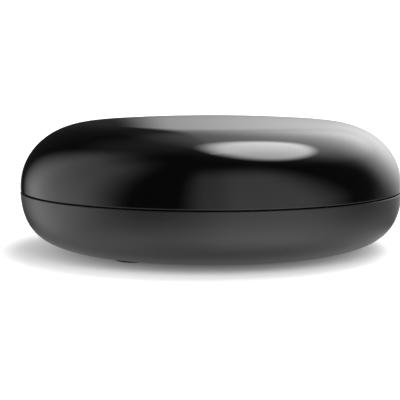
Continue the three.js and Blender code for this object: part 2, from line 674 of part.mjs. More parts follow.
// Eight sprung contacts that slope down from a bar at the back of the cavity.
function ethernetContacts() {
  const { count, pitch, width, thickness, reach, drop } = ETHERNET_PINS;
  const barHalf = ((count - 1) * pitch + 2 * width) / 2;
  const barFront = ethernetCavityBack + 1.2;
  const barTop = ethernetCavityTop - SLIP_GAP;
  const bar = block(
    [ETHERNET.x - barHalf, ETHERNET.x + barHalf],
    [ethernetCavityBack + SLIP_GAP, barFront],
    [barTop - 3 * thickness, barTop],
  );
  const side = new THREE.Shape([
    new THREE.Vector2(barFront - 0.3, barTop - thickness),
    new THREE.Vector2(barFront + reach, barTop - thickness - drop),
    new THREE.Vector2(barFront + reach, barTop - drop),
    new THREE.Vector2(barFront - 0.3, barTop),
  ]);
  const pins = [];
  for (let i = 0; i < count; i++) {
    const x = ETHERNET.x + (i - (count - 1) / 2) * pitch;
    const pin = new THREE.ExtrudeGeometry(side, { depth: width, bevelEnabled: false });
    // the outline's first axis is Y and its second is Z, so the depth runs along X
    pin.applyMatrix4(new THREE.Matrix4().set(0, 0, 1, x - width / 2, 1, 0, 0, 0, 0, 1, 0, 0, 0, 0, 0, 1));
    pins.push(solid(pin));
  }
  return joined(solid(bar), ...pins);
}

const opticalHalf = OPTICAL.width / 2;
const opticalCavityHalf = opticalHalf - OPTICAL.wall;
const opticalCavityBottom = BOARD_TOP + OPTICAL.wall;
const opticalCavityTop = BOARD_TOP + OPTICAL.height - OPTICAL.wall;
const opticalCavityBack = JACK_MOUTH_Y - OPTICAL.cavityDepth;
const opticalCentreZ = (opticalCavityBottom + opticalCavityTop) / 2;
const hingeY = JACK_MOUTH_Y - SHUTTER_INSET;
const hingeZ = opticalCavityTop - SHUTTER.knuckleRadius - 0.15;

// The optical jack's body, with the hinge holes and the hole for its emitter.
function opticalBody() {
  const { x } = OPTICAL;
  const body = block([x - opticalHalf, x + opticalHalf], [JACK_MOUTH_Y - OPTICAL.depth, JACK_MOUTH_Y], [
    BOARD_TOP,
    BOARD_TOP + OPTICAL.height,
  ]);
  const cavity = block([x - opticalCavityHalf, x + opticalCavityHalf], [opticalCavityBack, JACK_MOUTH_Y + 1], [
    opticalCavityBottom,
    opticalCavityTop,
  ]);
  const emitterHole = rodAlongY(
    x,
    opticalCentreZ,
    [JACK_MOUTH_Y - OPTICAL.depth - 1, opticalCavityBack + 1],
    EMITTER_RADIUS + PILOT_CLEARANCE,
  );
  const hingeHole = rodAlongX(hingeY, hingeZ, [x - opticalHalf - 1, x + opticalHalf + 1], SHUTTER.holeRadius, 12);
  return cut(solid(body), solid(cavity), solid(emitterHole), solid(hingeHole));
}

// The dust shutter: a flap with a round hinge edge and two short pins.
function opticalShutter() {
  const { x } = OPTICAL;
  const half = opticalCavityHalf - SHUTTER.sideGap;
  const pinHalf = opticalHalf - 0.3;
  const flap = block(
    [x - half, x + half],
    [hingeY - SHUTTER.thickness / 2, hingeY + SHUTTER.thickness / 2],
    [opticalCavityBottom + SHUTTER.sideGap, hingeZ],
  );
  return joined(
    solid(flap),
    solid(rodAlongX(hingeY, hingeZ, [x - half, x + half], SHUTTER.knuckleRadius, 12)),
    solid(rodAlongX(hingeY, hingeZ, [x - pinHalf, x + pinHalf], SHUTTER.pinRadius, 12)),
  );
}

// ---- Pairing button ---------------------------------------------------------------------------------------------------------
const BUTTON_Z = BOARD_TOP + BUTTON.heightOverBoard;
const switchFront = PANEL_BACK_Y - SWITCH.inset;
const plungerTip = switchFront + SWITCH.plungerProud;

function pairingButton() {
  const flangeFront = PANEL_BACK_Y - FIT_GAP;
  const flangeBack = flangeFront - BUTTON.flangeThickness;
  return joined(
    solid(rodAlongY(BUTTON.x, BUTTON_Z, [flangeBack, FACE_Y + BUTTON.proud], BUTTON.radius)),
    solid(rodAlongY(BUTTON.x, BUTTON_Z, [flangeBack, flangeFront], BUTTON.flange)),
    solid(rodAlongY(BUTTON.x, BUTTON_Z, [plungerTip, flangeBack + 0.1], BUTTON_STEM_RADIUS, 16)),
  );
}

function switchBody() {
  return solid(
    block([BUTTON.x - SWITCH.width / 2, BUTTON.x + SWITCH.width / 2], [switchFront - SWITCH.depth, switchFront], [
      BOARD_TOP,
      BOARD_TOP + SWITCH.height,
    ]),
  ).subtract(
    solid(
      rodAlongY(
        BUTTON.x,
        BUTTON_Z,
        [switchFront - PLUNGER_POCKET, switchFront + 1],
        SWITCH.plungerRadius + PLUNGER_GAP,
      ),
    ),
  );
}

// ---- Processor stack ----------------------------------------------------------------------------------------------------------
const shieldTop = BOARD_TOP + SHIELD.height;
const sinkBottom = shieldTop + SINK_PAD.thickness;
const sinkBaseTop = sinkBottom + SINK.base;

function shieldCan() {
  const plan = (margin) => [
    [margin - SHIELD.width / 2, SHIELD.width / 2 - margin],
    [STACK_Y - SHIELD.depth / 2 + margin, STACK_Y + SHIELD.depth / 2 - margin],
  ];
  return solid(block(...plan(0), [BOARD_TOP, shieldTop])).subtract(
    solid(block(...plan(SHIELD.sheet), [BOARD_TOP - 1, shieldTop - SHIELD.sheet])),
  );
}

// An extruded aluminium sink: a base with a row of fins, cleared and drilled for its two pins.
function heatSink() {
  const half = SINK.width / 2;
  const base = block([-half, half], [SINK_FRONT_Y, SINK_REAR_Y], [sinkBottom, sinkBaseTop]);
  const fins = [];
  for (let i = 0; i < SINK.finCount; i++) {
    const centre = (i - (SINK.finCount - 1) / 2) * SINK.finPitch;
    const fin = block(
      [centre - SINK.finThickness / 2, centre + SINK.finThickness / 2],
      [SINK_FRONT_Y + FIN_END_MARGIN, SINK_REAR_Y - FIN_END_MARGIN],
      [sinkBaseTop - 0.5, sinkBaseTop + SINK.finHeight],
    );
    fins.push(solid(fin));
  }
  const cuts = pinPlaces.flatMap((pin) => [
    solid(post(pin.x, pin.y, [sinkBaseTop, FAR], SINK_PIN_ROOM)),
    solid(post(pin.x, pin.y, [sinkBottom - 1, sinkBaseTop + 1], SINK_PIN.hole, undefined, 16)),
  ]);
  return cut(joined(solid(base), ...fins), ...cuts);
}

// A push pin, turned: barbed tip under the board, shank through board and sink, head over the spring.
function sinkPinProfile() {
  const point = (r, z) => new THREE.Vector2(r, z);
  const barbTop = BOARD_BOTTOM - SLIP_GAP;
  const headBottom = sinkBaseTop + SINK_PIN.headOverBase;
  return [
    point(0, barbTop - SINK_PIN_BARB.height),
    point(0.6 * SINK_PIN.shank, barbTop - SINK_PIN_BARB.height),
    point(SINK_PIN_BARB.radius, barbTop),
    point(SINK_PIN.shank, barbTop),
    point(SINK_PIN.shank, headBottom),
    point(SINK_PIN.head, headBottom),
    point(SINK_PIN.head, headBottom + SINK_PIN.headHeight),
    point(0, headBottom + SINK_PIN.headHeight),
  ];
}

// A round section carried along a curve.
function wire(curve, radius, steps, sides) {
  const section = new THREE.Shape();
  section.absarc(0, 0, radius, 0, 2 * Math.PI);
  return new THREE.ExtrudeGeometry(section, {
    steps,
    extrudePath: curve,
    bevelEnabled: false,
    curveSegments: sides,
  });
}

// The compression spring between the sink's base and a pin's head.
class Helix extends THREE.Curve {
  getPoint(t, target = new THREE.Vector3()) {
    const angle = 2 * Math.PI * SPRING.turns * t;
    const bottom = sinkBaseTop + SPRING.wire + SLIP_GAP;
    const top = sinkBaseTop + SINK_PIN.headOverBase - SPRING.wire - SLIP_GAP;
    return target.set(
      SPRING.radius * Math.cos(angle),
      SPRING.radius * Math.sin(angle),
      THREE.MathUtils.lerp(bottom, top, t),
    );
  }
}

// ---- Smaller parts ----------------------------------------------------------------------------------------------------------------

function capacitorBody() {
  const point = (r, z) => new THREE.Vector2(r, z);
  const { radius, height, foot, footHeight, neck, neckZ } = CAPACITOR;
  const can = solid(
    turned(
      [
        point(0, footHeight / 2),
        point(radius, footHeight / 2),
        point(radius, neckZ - neck),
        point(radius - neck, neckZ),
        point(radius, neckZ + neck),
        point(radius, height - neck),
        point(radius - neck, height),
        point(0, height),
      ],
      20,
    ),
  );
  return joined(can, solid(block([-foot / 2, foot / 2], [-foot / 2, foot / 2], [0, footHeight])));
}

function coilBody() {
  const { side, height, drumRadius, drumHeight } = COIL;
  return solid(block([-side / 2, side / 2], [-side / 2, side / 2], [0, height])).add(
    solid(post(0, 0, [height - 0.2, height + drumHeight], drumRadius, undefined, 16)),
  );
}

function infraredReceiver() {
  const { width, depth, height, lens } = INFRARED;
  return solid(block([-width / 2, width / 2], [-depth / 2, depth / 2], [0, height])).add(
    solid(new THREE.SphereGeometry(lens, 14, 8).translate(0, -depth / 2, height / 2)),
  );
}

// An L-shaped rod of clear plastic from over the status light to the inside of the upper shell's front.
function lightPipe() {
  const rear = STATUS_LED_Y + LIGHT_PIPE.thickness / 2;
  const legFront = rear - LIGHT_PIPE.thickness;
  const bottom = BOARD_TOP + STATUS_LED.height + FIT_GAP;
  const armBottom = LIP_TOP + FIT_GAP;
  const top = armBottom + LIGHT_PIPE.thickness;
  const reach = Math.abs(STATUS_LED.x) + LIGHT_PIPE.width / 2;
  const front = -Math.sqrt((radiusAt(innerOutline, top) - FIT_GAP) ** 2 - reach ** 2);
  const side = new THREE.Shape([
    new THREE.Vector2(rear, bottom),
    new THREE.Vector2(rear, top - LIGHT_PIPE.bevel),
    new THREE.Vector2(rear - LIGHT_PIPE.bevel, top),
    new THREE.Vector2(front, top),
    new THREE.Vector2(front, armBottom),
    new THREE.Vector2(legFront, armBottom),
    new THREE.Vector2(legFront, bottom),
  ]);
  const left = STATUS_LED.x - LIGHT_PIPE.width / 2;
  const pipe = new THREE.ExtrudeGeometry(side, { depth: LIGHT_PIPE.width, bevelEnabled: false });
  // the outline's first axis is Y and its second is Z, so the depth runs along X
  pipe.applyMatrix4(new THREE.Matrix4().set(0, 0, 1, left, 1, 0, 0, 0, 0, 1, 0, 0, 0, 0, 0, 1));
  return solid(pipe);
}

// A thin film stuck to the curved inside of the upper shell.
function antennaFilm(angle) {
  const skin = WALL + FIT_GAP;
  const film = solid(turned(insideOutline(skin))).subtract(
    solid(turned(insideOutline(skin + ANTENNA.thickness))),
  );
  const window = block([BODY_RADIUS / 2, FAR], [-ANTENNA.halfLength, ANTENNA.halfLength], [
    ANTENNA_BOTTOM,
    ANTENNA_BOTTOM + ANTENNA.height,
  ]).rotateZ(THREE.MathUtils.degToRad(angle));
  return film.intersect(solid(window));
}

// A lead's middle line: from its plug, round the case, to the back of its antenna.
function leadCurve({ name, angle, plug }) {
  const { leaves, way } = LEAD_ROUTES[name];
  const at = ([x, y], z) => new THREE.Vector3(x, y, z);
  const wallRadius = (z) => radiusAt(innerOutline, z);
  const plugZ = BOARD_TOP + RADIO.height + ANTENNA_PLUG.height / 2;
  const [dx, dy] = polar(ANTENNA_PLUG.radius + LEAD.start, leaves);
  const [nx, ny] = polar(ANTENNA_PLUG.radius + LEAD.start + 1.6, leaves);
  const centre = [RADIO.x + plug[0], RADIO.y + plug[1]];
  const points = [
    at([centre[0] + dx, centre[1] + dy], plugZ),
    at([centre[0] + nx, centre[1] + ny], plugZ),
  ];
  for (const [degrees, gap, height] of way) {
    const z = BOARD_TOP + height;
    points.push(at(polar(wallRadius(z) - gap, degrees), z));
  }
  const endZ = ANTENNA_BOTTOM + LEAD_END.height;
  const endGap = FIT_GAP + ANTENNA.thickness + LEAD_END.gap + LEAD.radius;
  points.push(at(polar(wallRadius(endZ) - endGap, angle), endZ));
  return new THREE.CatmullRomCurve3(points);
}

// ---- Assembly ------------------------------------------------------------------------------------------------------------------------
const player = new THREE.Group();
player.name = "streaming_media_player";

// Adds one named mesh to a group, at a place within it.
function add(group, name, shape, material, place = [0, 0, 0]) {
  const geometry = shape.isBufferGeometry ? shape : geometryOf(shape);
  const mesh = new THREE.Mesh(geometry, material);
  mesh.name = name;
  mesh.position.set(...place);
  group.add(mesh);
  return mesh;
}

function addGroup(height = 0) {
  const group = new THREE.Group();
  group.position.z = height;
  player.add(group);
  return group;
}

// Case
const casing = addGroup();
add(casing, "upper_shell", upperShell(), FINISH.glossBlack);
add(casing, "lower_shell", lowerShell(), FINISH.satinBlack);
add(casing, "port_panel", portPanel(), FINISH.satinBlack);
for (const { name, x, y } of supportPlaces) {
  add(casing, `foot_${name}`, turned(footProfile(), 32), FINISH.rubber, [x, y, 0]);
  const screw = crossScrew(SCREW_HEAD_RADIUS, SCREW_HEAD_HEIGHT, SCREW_SHANK_RADIUS, SCREW_LENGTH, 20);
  add(casing, `case_screw_${name}`, screw, FINISH.steel, [x, y, SCREW_HEAD_SEAT - SCREW_HEAD_HEIGHT]);
}
const label = post(0, 0, [UNDERSIDE_Z - LABEL_THICKNESS, UNDERSIDE_Z], LABEL_RADIUS, LABEL_RADIUS, 48);
add(casing, "rating_label", label, FINISH.labelGrey);
const ballastLevels = [FLOOR_TOP + GLUE_GAP, FLOOR_TOP + GLUE_GAP + BALLAST_THICKNESS];
add(casing, "ballast_plate", post(0, 0, ballastLevels, BALLAST_RADIUS, BALLAST_RADIUS, 40), FINISH.steel);

// Board and its screws
const boardGroup = addGroup();
add(boardGroup, "main_board", mainBoard(), FINISH.board);
for (const { name, x, y } of BOARD_SCREWS) {
  const screw = geometryOf(
    crossScrew(BOARD_SCREW_HEAD_RADIUS, BOARD_SCREW_HEAD_HEIGHT, BOARD_SCREW_RADIUS, BOARD_SCREW_LENGTH, 16),
  ).rotateX(Math.PI);
  add(boardGroup, `board_screw_${name}`, screw, FINISH.steel, [x, y, BOARD_TOP + BOARD_SCREW_HEAD_HEIGHT]);
}

// Connectors
const ports = addGroup();
add(ports, "hdmi_shell", socketShell(hdmiOutline, HDMI), FINISH.tin);
add(ports, "hdmi_insert", socketInsert(hdmiOutline, HDMI), FINISH.connectorBlack);
add(ports, "usb_c_shell", socketShell(usbOutline, USB_C), FINISH.tin);
add(ports, "usb_c_insert", socketInsert(usbOutline, USB_C), FINISH.connectorBlack);
add(ports, "ethernet_shield", ethernetShield(), FINISH.tin);
add(ports, "ethernet_body", ethernetBody(), FINISH.connectorBlack);
add(ports, "ethernet_contacts", ethernetContacts(), FINISH.gold);
add(ports, "optical_body", opticalBody(), FINISH.connectorBlack);
add(ports, "optical_shutter", opticalShutter(), FINISH.connectorBlack);
const emitterReach = [JACK_MOUTH_Y - OPTICAL.depth, opticalCavityBack + 1];
add(ports, "optical_emitter", rodAlongY(OPTICAL.x, opticalCentreZ, emitterReach, EMITTER_RADIUS), FINISH.clear);

// Pairing button
const control = addGroup();
add(control, "pairing_button", pairingButton(), FINISH.satinBlack);
add(control, "switch_body", switchBody(), FINISH.chip);
const plungerReach = [switchFront - PLUNGER_SUNK, plungerTip];
const plunger = rodAlongY(BUTTON.x, BUTTON_Z, plungerReach, SWITCH.plungerRadius, 20);
add(control, "switch_plunger", plunger, FINISH.connectorBlack);

// Processor, memory and what stands over them
const stack = addGroup();
const shieldPlan = (x, y) => [x, STACK_Y + y, BOARD_TOP];
const chipBox = ([width, depth, height]) =>
  block([-width / 2, width / 2], [-depth / 2, depth / 2], [0, height]);
const processorSize = [PROCESSOR.side, PROCESSOR.side, PROCESSOR.height];
add(stack, "processor", chipBox(processorSize), FINISH.chip, shieldPlan(PROCESSOR.x, 0));
for (const [name, side] of [["front", -1], ["rear", 1]]) {
  const place = shieldPlan(MEMORY.x, side * MEMORY.y);
  add(stack, `memory_chip_${name}`, chipBox(MEMORY.size), FINISH.chip, place);
}
const padHeight = SHIELD.height - SHIELD.sheet - PROCESSOR.height;
const processorPad = chipBox([PROCESSOR_PAD_SIDE, PROCESSOR_PAD_SIDE, padHeight]);
const padPlace = [PROCESSOR.x, STACK_Y, BOARD_TOP + PROCESSOR.height];
add(stack, "processor_pad", processorPad, FINISH.thermalPad, padPlace);
add(stack, "shield_can", shieldCan(), FINISH.tin);
const sinkPad = chipBox([SINK_PAD.width, SINK_PAD.depth, SINK_PAD.thickness]);
add(stack, "sink_pad", sinkPad, FINISH.thermalPad, [0, STACK_Y, shieldTop]);
add(stack, "heat_sink", heatSink(), FINISH.aluminium);
for (const { name, x, y } of pinPlaces) {
  add(stack, `sink_pin_${name}`, turned(sinkPinProfile(), 16), FINISH.connectorBlack, [x, y, 0]);
  const spring = wire(new Helix(), SPRING.wire, SPRING.turns * SPRING.stepsPerTurn, 3);
  add(stack, `sink_spring_${name}`, spring, FINISH.steel, [x, y, 0]);
}

// Everything else that is soldered to the board's top face
const surface = addGroup(BOARD_TOP);
for (const { name, x, y, size } of CHIPS) add(surface, name, chipBox(size), FINISH.chip, [x, y, 0]);
const radioBox = chipBox([RADIO.side, RADIO.side, RADIO.height]);
add(surface, "radio_module", radioBox, FINISH.tin, [RADIO.x, RADIO.y, 0]);
for (const { name, x, y } of COILS) add(surface, name, coilBody(), FINISH.ferrite, [x, y, 0]);
const besideBoss = (support, [dx, dy]) => {
  const boss = supportPlaces.find(({ name }) => name === support);
  return [boss.x + dx, boss.y + dy, 0];
};
for (const { name, fromBoss } of CAPACITORS) {
  add(surface, name, capacitorBody(), FINISH.aluminium, besideBoss("rear_right", fromBoss));
}
const chipPlace = besideBoss("rear_left", ETHERNET_CHIP.fromBoss);
add(surface, "ethernet_chip", chipBox(ETHERNET_CHIP.size), FINISH.chip, chipPlace);
add(surface, "infrared_receiver", infraredReceiver(), FINISH.chip, [INFRARED.x, INFRARED_Y, 0]);
const ledBox = chipBox([STATUS_LED.width, STATUS_LED.depth, STATUS_LED.height]);
add(surface, "status_led", ledBox, FINISH.ledYellow, [STATUS_LED.x, STATUS_LED_Y, 0]);

// Light pipe, antennas and their leads
const loose = addGroup();
add(loose, "light_pipe", lightPipe(), FINISH.clear);
for (const antenna of ANTENNAS) {
  const { name, angle, plug } = antenna;
  add(loose, `antenna_${name}`, antennaFilm(angle), FINISH.copper);
  const plugLevels = [BOARD_TOP + RADIO.height, BOARD_TOP + RADIO.height + ANTENNA_PLUG.height];
  const plugBody = post(RADIO.x + plug[0], RADIO.y + plug[1], plugLevels, ANTENNA_PLUG.radius, undefined, 16);
  add(loose, `antenna_plug_${name}`, plugBody, FINISH.gold);
  const lead = wire(leadCurve(antenna), LEAD.radius, LEAD_ROUTES[name].steps, LEAD.sides / 2);
  add(loose, `antenna_lead_${name}`, lead, FINISH.rubber);
}

export default player;
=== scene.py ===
"""Streaming media player: a glossy domed shell over a satin lower shell, with sockets and inner parts."""

import json
import math

import bmesh
import bpy
import numpy as np
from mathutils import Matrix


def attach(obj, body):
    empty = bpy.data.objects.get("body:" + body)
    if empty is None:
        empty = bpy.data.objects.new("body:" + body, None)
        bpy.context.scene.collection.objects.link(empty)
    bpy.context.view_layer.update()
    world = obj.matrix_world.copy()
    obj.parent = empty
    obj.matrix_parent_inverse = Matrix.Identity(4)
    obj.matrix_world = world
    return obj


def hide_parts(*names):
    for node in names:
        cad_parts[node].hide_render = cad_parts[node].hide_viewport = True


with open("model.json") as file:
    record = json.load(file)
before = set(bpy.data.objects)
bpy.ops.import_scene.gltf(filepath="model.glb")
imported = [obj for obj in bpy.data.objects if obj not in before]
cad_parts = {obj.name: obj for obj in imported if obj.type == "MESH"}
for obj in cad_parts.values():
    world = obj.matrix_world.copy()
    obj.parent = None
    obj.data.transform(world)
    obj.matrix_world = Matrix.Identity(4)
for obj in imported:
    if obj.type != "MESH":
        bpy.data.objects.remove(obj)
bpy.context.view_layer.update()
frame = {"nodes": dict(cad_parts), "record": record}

# ---- Studio ------------------------------------------------------------------------------------------------
# The player stands on a pale floor in a plain white studio. Two tall soft boxes stand in front and to the
# left, an oval one hangs above and behind to the right, and a soft glow comes from the back wall.
MM = 0.001
VIEW_AZIMUTH = 40.0
VIEW_ELEVATION = 5.8
VIEW_DISTANCE = 400 * MM
VIEW_HEIGHT = 20.8 * MM
SENSOR = 36.0
FOCAL_LENGTH = 113.4
LENS_SHIFT = (-0.0278, -0.0471)
CAMERA_WHITE = 1.05
AMBIENT = 0.034
CORNER_DIMMING = 0.45
WALL_EVEN_GLOW = 0.18
HORIZON = (-30, -7)
GROUND_GLOW = 1.0
GROUND_EVEN = 0.42
FLOOR_HALF = 6.0
FLOOR_Z = -0.1 * MM
# Painted light: the floor glows of itself, dimly near the player and more further out, so the shade round the
# player is painted lighter and shorter.
FLOOR_GLOW, RIM_GLOW, FAR_GLOW = 0.1, 0.40, 0.6
RIM_START, RIM_END = 34 * MM, 58 * MM
FAR_START, FAR_END = 50 * MM, 112 * MM
GLOSS_START, GLOSS_END = 42 * MM, 72 * MM


def place_camera():
    """A camera on a circle of the given azimuth and elevation round a point on the vertical axis."""
    data = bpy.data.cameras.new("camera")
    data.sensor_width = SENSOR
    data.lens = FOCAL_LENGTH
    data.shift_x, data.shift_y = LENS_SHIFT
    data.clip_start = 0.01
    data.clip_end = 50
    camera = bpy.data.objects.new("camera", data)
    turn, tilt = math.radians(VIEW_AZIMUTH), math.radians(VIEW_ELEVATION)
    camera.location = (
        VIEW_DISTANCE * math.sin(turn) * math.cos(tilt),
        -VIEW_DISTANCE * math.cos(turn) * math.cos(tilt),
        VIEW_HEIGHT + VIEW_DISTANCE * math.sin(tilt),
    )
    camera.rotation_euler = (math.pi / 2 - tilt, 0, turn)
    bpy.context.scene.collection.objects.link(camera)
    bpy.context.scene.camera = camera


class Wiring:
    """Adds nodes to a node tree and joins them, so that a formula reads as nested calls."""

    def __init__(self, tree):
        self.tree = tree

    def node(self, kind, sockets=(), **settings):
        made = self.tree.nodes.new(kind)
        for key, value in settings.items():
            setattr(made, key, value)
        for key, value in dict(sockets).items():
            self.put(value, made.inputs[key])
        return made

    def put(self, value, socket):
        if isinstance(value, bpy.types.NodeSocket):
            self.tree.links.new(value, socket)
        else:
            socket.default_value = value

    def math(self, operation, *values):
        made = self.tree.nodes.new("ShaderNodeMath")
        made.operation = operation
        for value, socket in zip(values, made.inputs):
            self.put(value, socket)
        return made.outputs[0]

    def ramp(self, value, low, high, start=0.0, end=1.0, kind="SMOOTHSTEP"):
        """start below low, end above high, and a smooth step between."""
        made = self.node("ShaderNodeMapRange", interpolation_type=kind)
        for key, item in zip(range(5), (value, low, high, start, end)):
            self.put(item, made.inputs[key])
        return made.outputs[0]

    def product(self, *values):
        result = values[0]
        for value in values[1:]:
            result = self.math("MULTIPLY", result, value)
        return result


def light_studio():
    """Brightness of the surroundings by direction: a sum of soft boxes and spots, which gives way below the
    horizon to soft patches of ground. Seen from the player, azimuth 0 is towards the camera and positive is
    to the camera's right."""
    world = bpy.data.worlds.new("studio")
    world.use_nodes = True
    tree = world.node_tree
    tree.nodes.clear()
    w = Wiring(tree)
    direction = w.node("ShaderNodeTexCoord").outputs["Generated"]
    turned = w.node("ShaderNodeMapping", {"Vector": direction}, vector_type="POINT")
    turned.inputs["Rotation"].default_value = (0, 0, -math.radians(VIEW_AZIMUTH))
    split = w.node("ShaderNodeSeparateXYZ", {"Vector": turned.outputs[0]})
    x, y, z = split.outputs
    degrees = 180 / math.pi
    front = w.math("MULTIPLY", w.math("ARCTAN2", x, w.math("MULTIPLY", y, -1.0)), degrees)
    back = w.math("MULTIPLY", w.math("ARCTAN2", x, y), degrees)
    height = w.math("MULTIPLY", w.math("ARCSINE", z), degrees)
    rise = w.math("MAXIMUM", height, 0.0)

    overhead = w.ramp(z, 0.2, 0.4)

    def length(*parts):
        """The square root of the sum of two squares."""
        return w.math("SQRT", w.math("ADD", *[w.math("POWER", part, 2.0) for part in parts]))

    def standing_box(left, right, top, glow, left_lean=0.0, right_lean=0.0):
        """A tall box. Each edge is where it begins and ends in degrees, and a lean is its shift per degree of
        height. The glow goes evenly from its first value at the horizon to its second at 60 degrees."""
        left_side = w.math("MULTIPLY_ADD", rise, -left_lean, front)
        right_side = w.math("MULTIPLY_ADD", rise, -right_lean, front)
        sides = w.product(w.ramp(left_side, *left), w.ramp(right_side, *right, 1, 0))
        return w.product(sides, w.ramp(height, *top, 1, 0), w.ramp(rise, 0, 60, *glow, "LINEAR"))

    def ceiling_box(centre, edge, glow, turn=0.0, squeeze=1.0):
        """An oval box on a level ceiling, measured in the ceiling's height and turned. Depth is multiplied by
        squeeze before it counts, so a squeeze under 1 makes the oval longer in depth."""
        above = w.math("MAXIMUM", z, 0.02)
        across = w.math("SUBTRACT", w.math("DIVIDE", x, above), centre[0])
        along = w.math("SUBTRACT", w.math("DIVIDE", y, above), centre[1])
        cos, sin = math.cos(turn), math.sin(turn)
        side = w.math("ADD", w.product(across, cos), w.product(along, sin))
        depth = w.math("SUBTRACT", w.product(along, cos), w.product(across, sin))
        return w.product(w.ramp(length(side, w.product(depth, squeeze)), *edge, glow, 0), overhead)

    def wall_spot(azimuth, elevation, half_width, half_height, glow, core=0.0):
        """A soft oval spot behind the player, its azimuth from straight behind. Its core has full glow."""
        sideways = w.product(w.math("SUBTRACT", back, azimuth), 1 / half_width)
        upwards = w.product(w.math("SUBTRACT", height, elevation), 1 / half_height)
        return w.ramp(length(sideways, upwards), core, 1, glow, 0)

    left_box = standing_box(
        left=(-152, -121), right=(-86, -45), top=(42, 72), glow=(1.27, 0.57), left_lean=0.38, right_lean=0.14
    )
    front_box = standing_box(
        left=(-20, -1), right=(52, 94), top=(37, 68), glow=(0.97, 0.81), right_lean=-0.49
    )
    front_box = w.product(front_box, w.ramp(front, -1, 18, 0.63, 1))
    top_box = ceiling_box(centre=(0.32, 0.26), edge=(0.24, 0.42), glow=7.0, squeeze=0.88)
    spill = ceiling_box(centre=(0.68, 1.26), edge=(0.29, 0.97), glow=0.67, turn=-0.33, squeeze=0.56)
    wall_sides = w.product(w.ramp(back, -5, -2), w.ramp(back, 55, 77, 1, 0), w.ramp(height, 65, 85, 1, 0))
    wall_light = wall_spot(azimuth=29, elevation=19, half_width=46, half_height=35, glow=2.05)
    wall = w.product(wall_sides, w.math("ADD", wall_light, WALL_EVEN_GLOW))
    cove = wall_spot(azimuth=34, elevation=102, half_width=68, half_height=102, glow=1.7)
    corner = wall_spot(azimuth=-46, elevation=62, half_width=64, half_height=28, glow=0.12)
    backdrop = wall_spot(azimuth=3, elevation=-6, half_width=27, half_height=8, glow=1.4, core=0.45)
    backdrop = w.product(backdrop, w.ramp(w.math("ABSOLUTE", back), 4, 9))
    boxes = [left_box, front_box, top_box, spill, wall, cove, corner, backdrop]
    dim_corner = w.product(w.ramp(y, 0, 0.3), w.ramp(x, -0.3, 0, 1, 0))
    total = w.math("MULTIPLY_ADD", dim_corner, -CORNER_DIMMING * AMBIENT, AMBIENT)
    for box in boxes:
        total = w.math("ADD", box, total)
    ground = w.ramp(height, *HORIZON, 1, 0)
    right_patch = w.product(w.ramp(front, -32, 24, 0, 0.85), w.ramp(front, 55, 105, 1, 0.25))
    left_patch = w.product(w.ramp(front, -112, -42, 1.05, 0), w.ramp(front, -150, -122))
    left_patch = w.product(left_patch, w.ramp(height, -42, -12, 0.3, 1))
    off_front = w.math("ABSOLUTE", front)
    near_patch = w.product(w.ramp(height, -52, -17, 0.7, 0), w.ramp(off_front, 60, 125, 1, 0))
    patches = w.math("ADD", w.math("ADD", GROUND_EVEN, near_patch), w.math("ADD", right_patch, left_patch))
    behind = w.ramp(off_front, 118, 155, 1, 0.28)
    patches = w.product(patches, w.ramp(height, -80, -50, 0.55, 1), behind)
    lit = w.math("ADD", w.product(total, w.ramp(height, *HORIZON)), w.product(ground, patches, GROUND_GLOW))
    # the camera itself sees plain white behind the floor
    seen = w.node("ShaderNodeLightPath").outputs["Is Camera Ray"]
    strength = w.math("ADD", w.product(lit, w.math("SUBTRACT", 1.0, seen)), w.product(seen, CAMERA_WHITE))
    shade = w.node("ShaderNodeBackground", {"Strength": strength})
    shade.inputs["Color"].default_value = (1, 1, 1, 1)
    out = w.node("ShaderNodeOutputWorld")
    tree.links.new(shade.outputs[0], out.inputs["Surface"])
    bpy.context.scene.world = world


def lay_floor():
    """A wide pale floor, seen from above only, with painted light: it glows of itself, dimly near the player
    and more with distance, which paints the shade round the player lighter and narrower than the lamps leave
    it. In glossy reflections it fades out away from the player, where the studio's own ground takes over."""
    mesh = bpy.data.meshes.new("floor")
    corners = [(-1, -1), (1, -1), (1, 1), (-1, 1)]
    mesh.from_pydata([(FLOOR_HALF * a, FLOOR_HALF * b, FLOOR_Z) for a, b in corners], [], [(0, 1, 2, 3)])
    floor = bpy.data.objects.new("floor", mesh)
    bpy.context.scene.collection.objects.link(floor)
    paint = bpy.data.materials.new("pale_floor")
    paint.use_nodes = True
    w = Wiring(paint.node_tree)
    shader = paint.node_tree.nodes["Principled BSDF"]
    shader.inputs["Base Color"].default_value = (0.55, 0.55, 0.55, 1)
    shader.inputs["Roughness"].default_value = 0.9
    shader.inputs["Specular IOR Level"].default_value = 0.1
    shader.inputs["Emission Color"].default_value = (1, 1, 1, 1)
    place = w.node("ShaderNodeTexCoord").outputs["Object"]
    distance = w.node("ShaderNodeVectorMath", {0: place}, operation="LENGTH").outputs["Value"]
    # painted light: the floor's own glow rises from the player outwards, which paints the shade round the
    # player
    painted_near_light = w.ramp(distance, RIM_START, RIM_END, FLOOR_GLOW, RIM_GLOW)
    painted_far_light = w.ramp(distance, FAR_START, FAR_END, 0, FAR_GLOW)
    w.put(w.math("ADD", painted_near_light, painted_far_light), shader.inputs["Emission Strength"])
    in_gloss = w.node("ShaderNodeLightPath").outputs["Is Glossy Ray"]
    faded = w.product(w.ramp(distance, GLOSS_START, GLOSS_END), in_gloss)
    below = w.node("ShaderNodeNewGeometry").outputs["Backfacing"]
    open_floor = w.node("ShaderNodeBsdfTransparent").outputs[0]
    mixed = w.node("ShaderNodeMixShader", {0: w.math("MAXIMUM", faded, below)})
    w.put(shader.outputs[0], mixed.inputs[1])
    w.put(open_floor, mixed.inputs[2])
    w.put(mixed.outputs[0], paint.node_tree.nodes["Material Output"].inputs["Surface"])
    mesh.materials.append(paint)


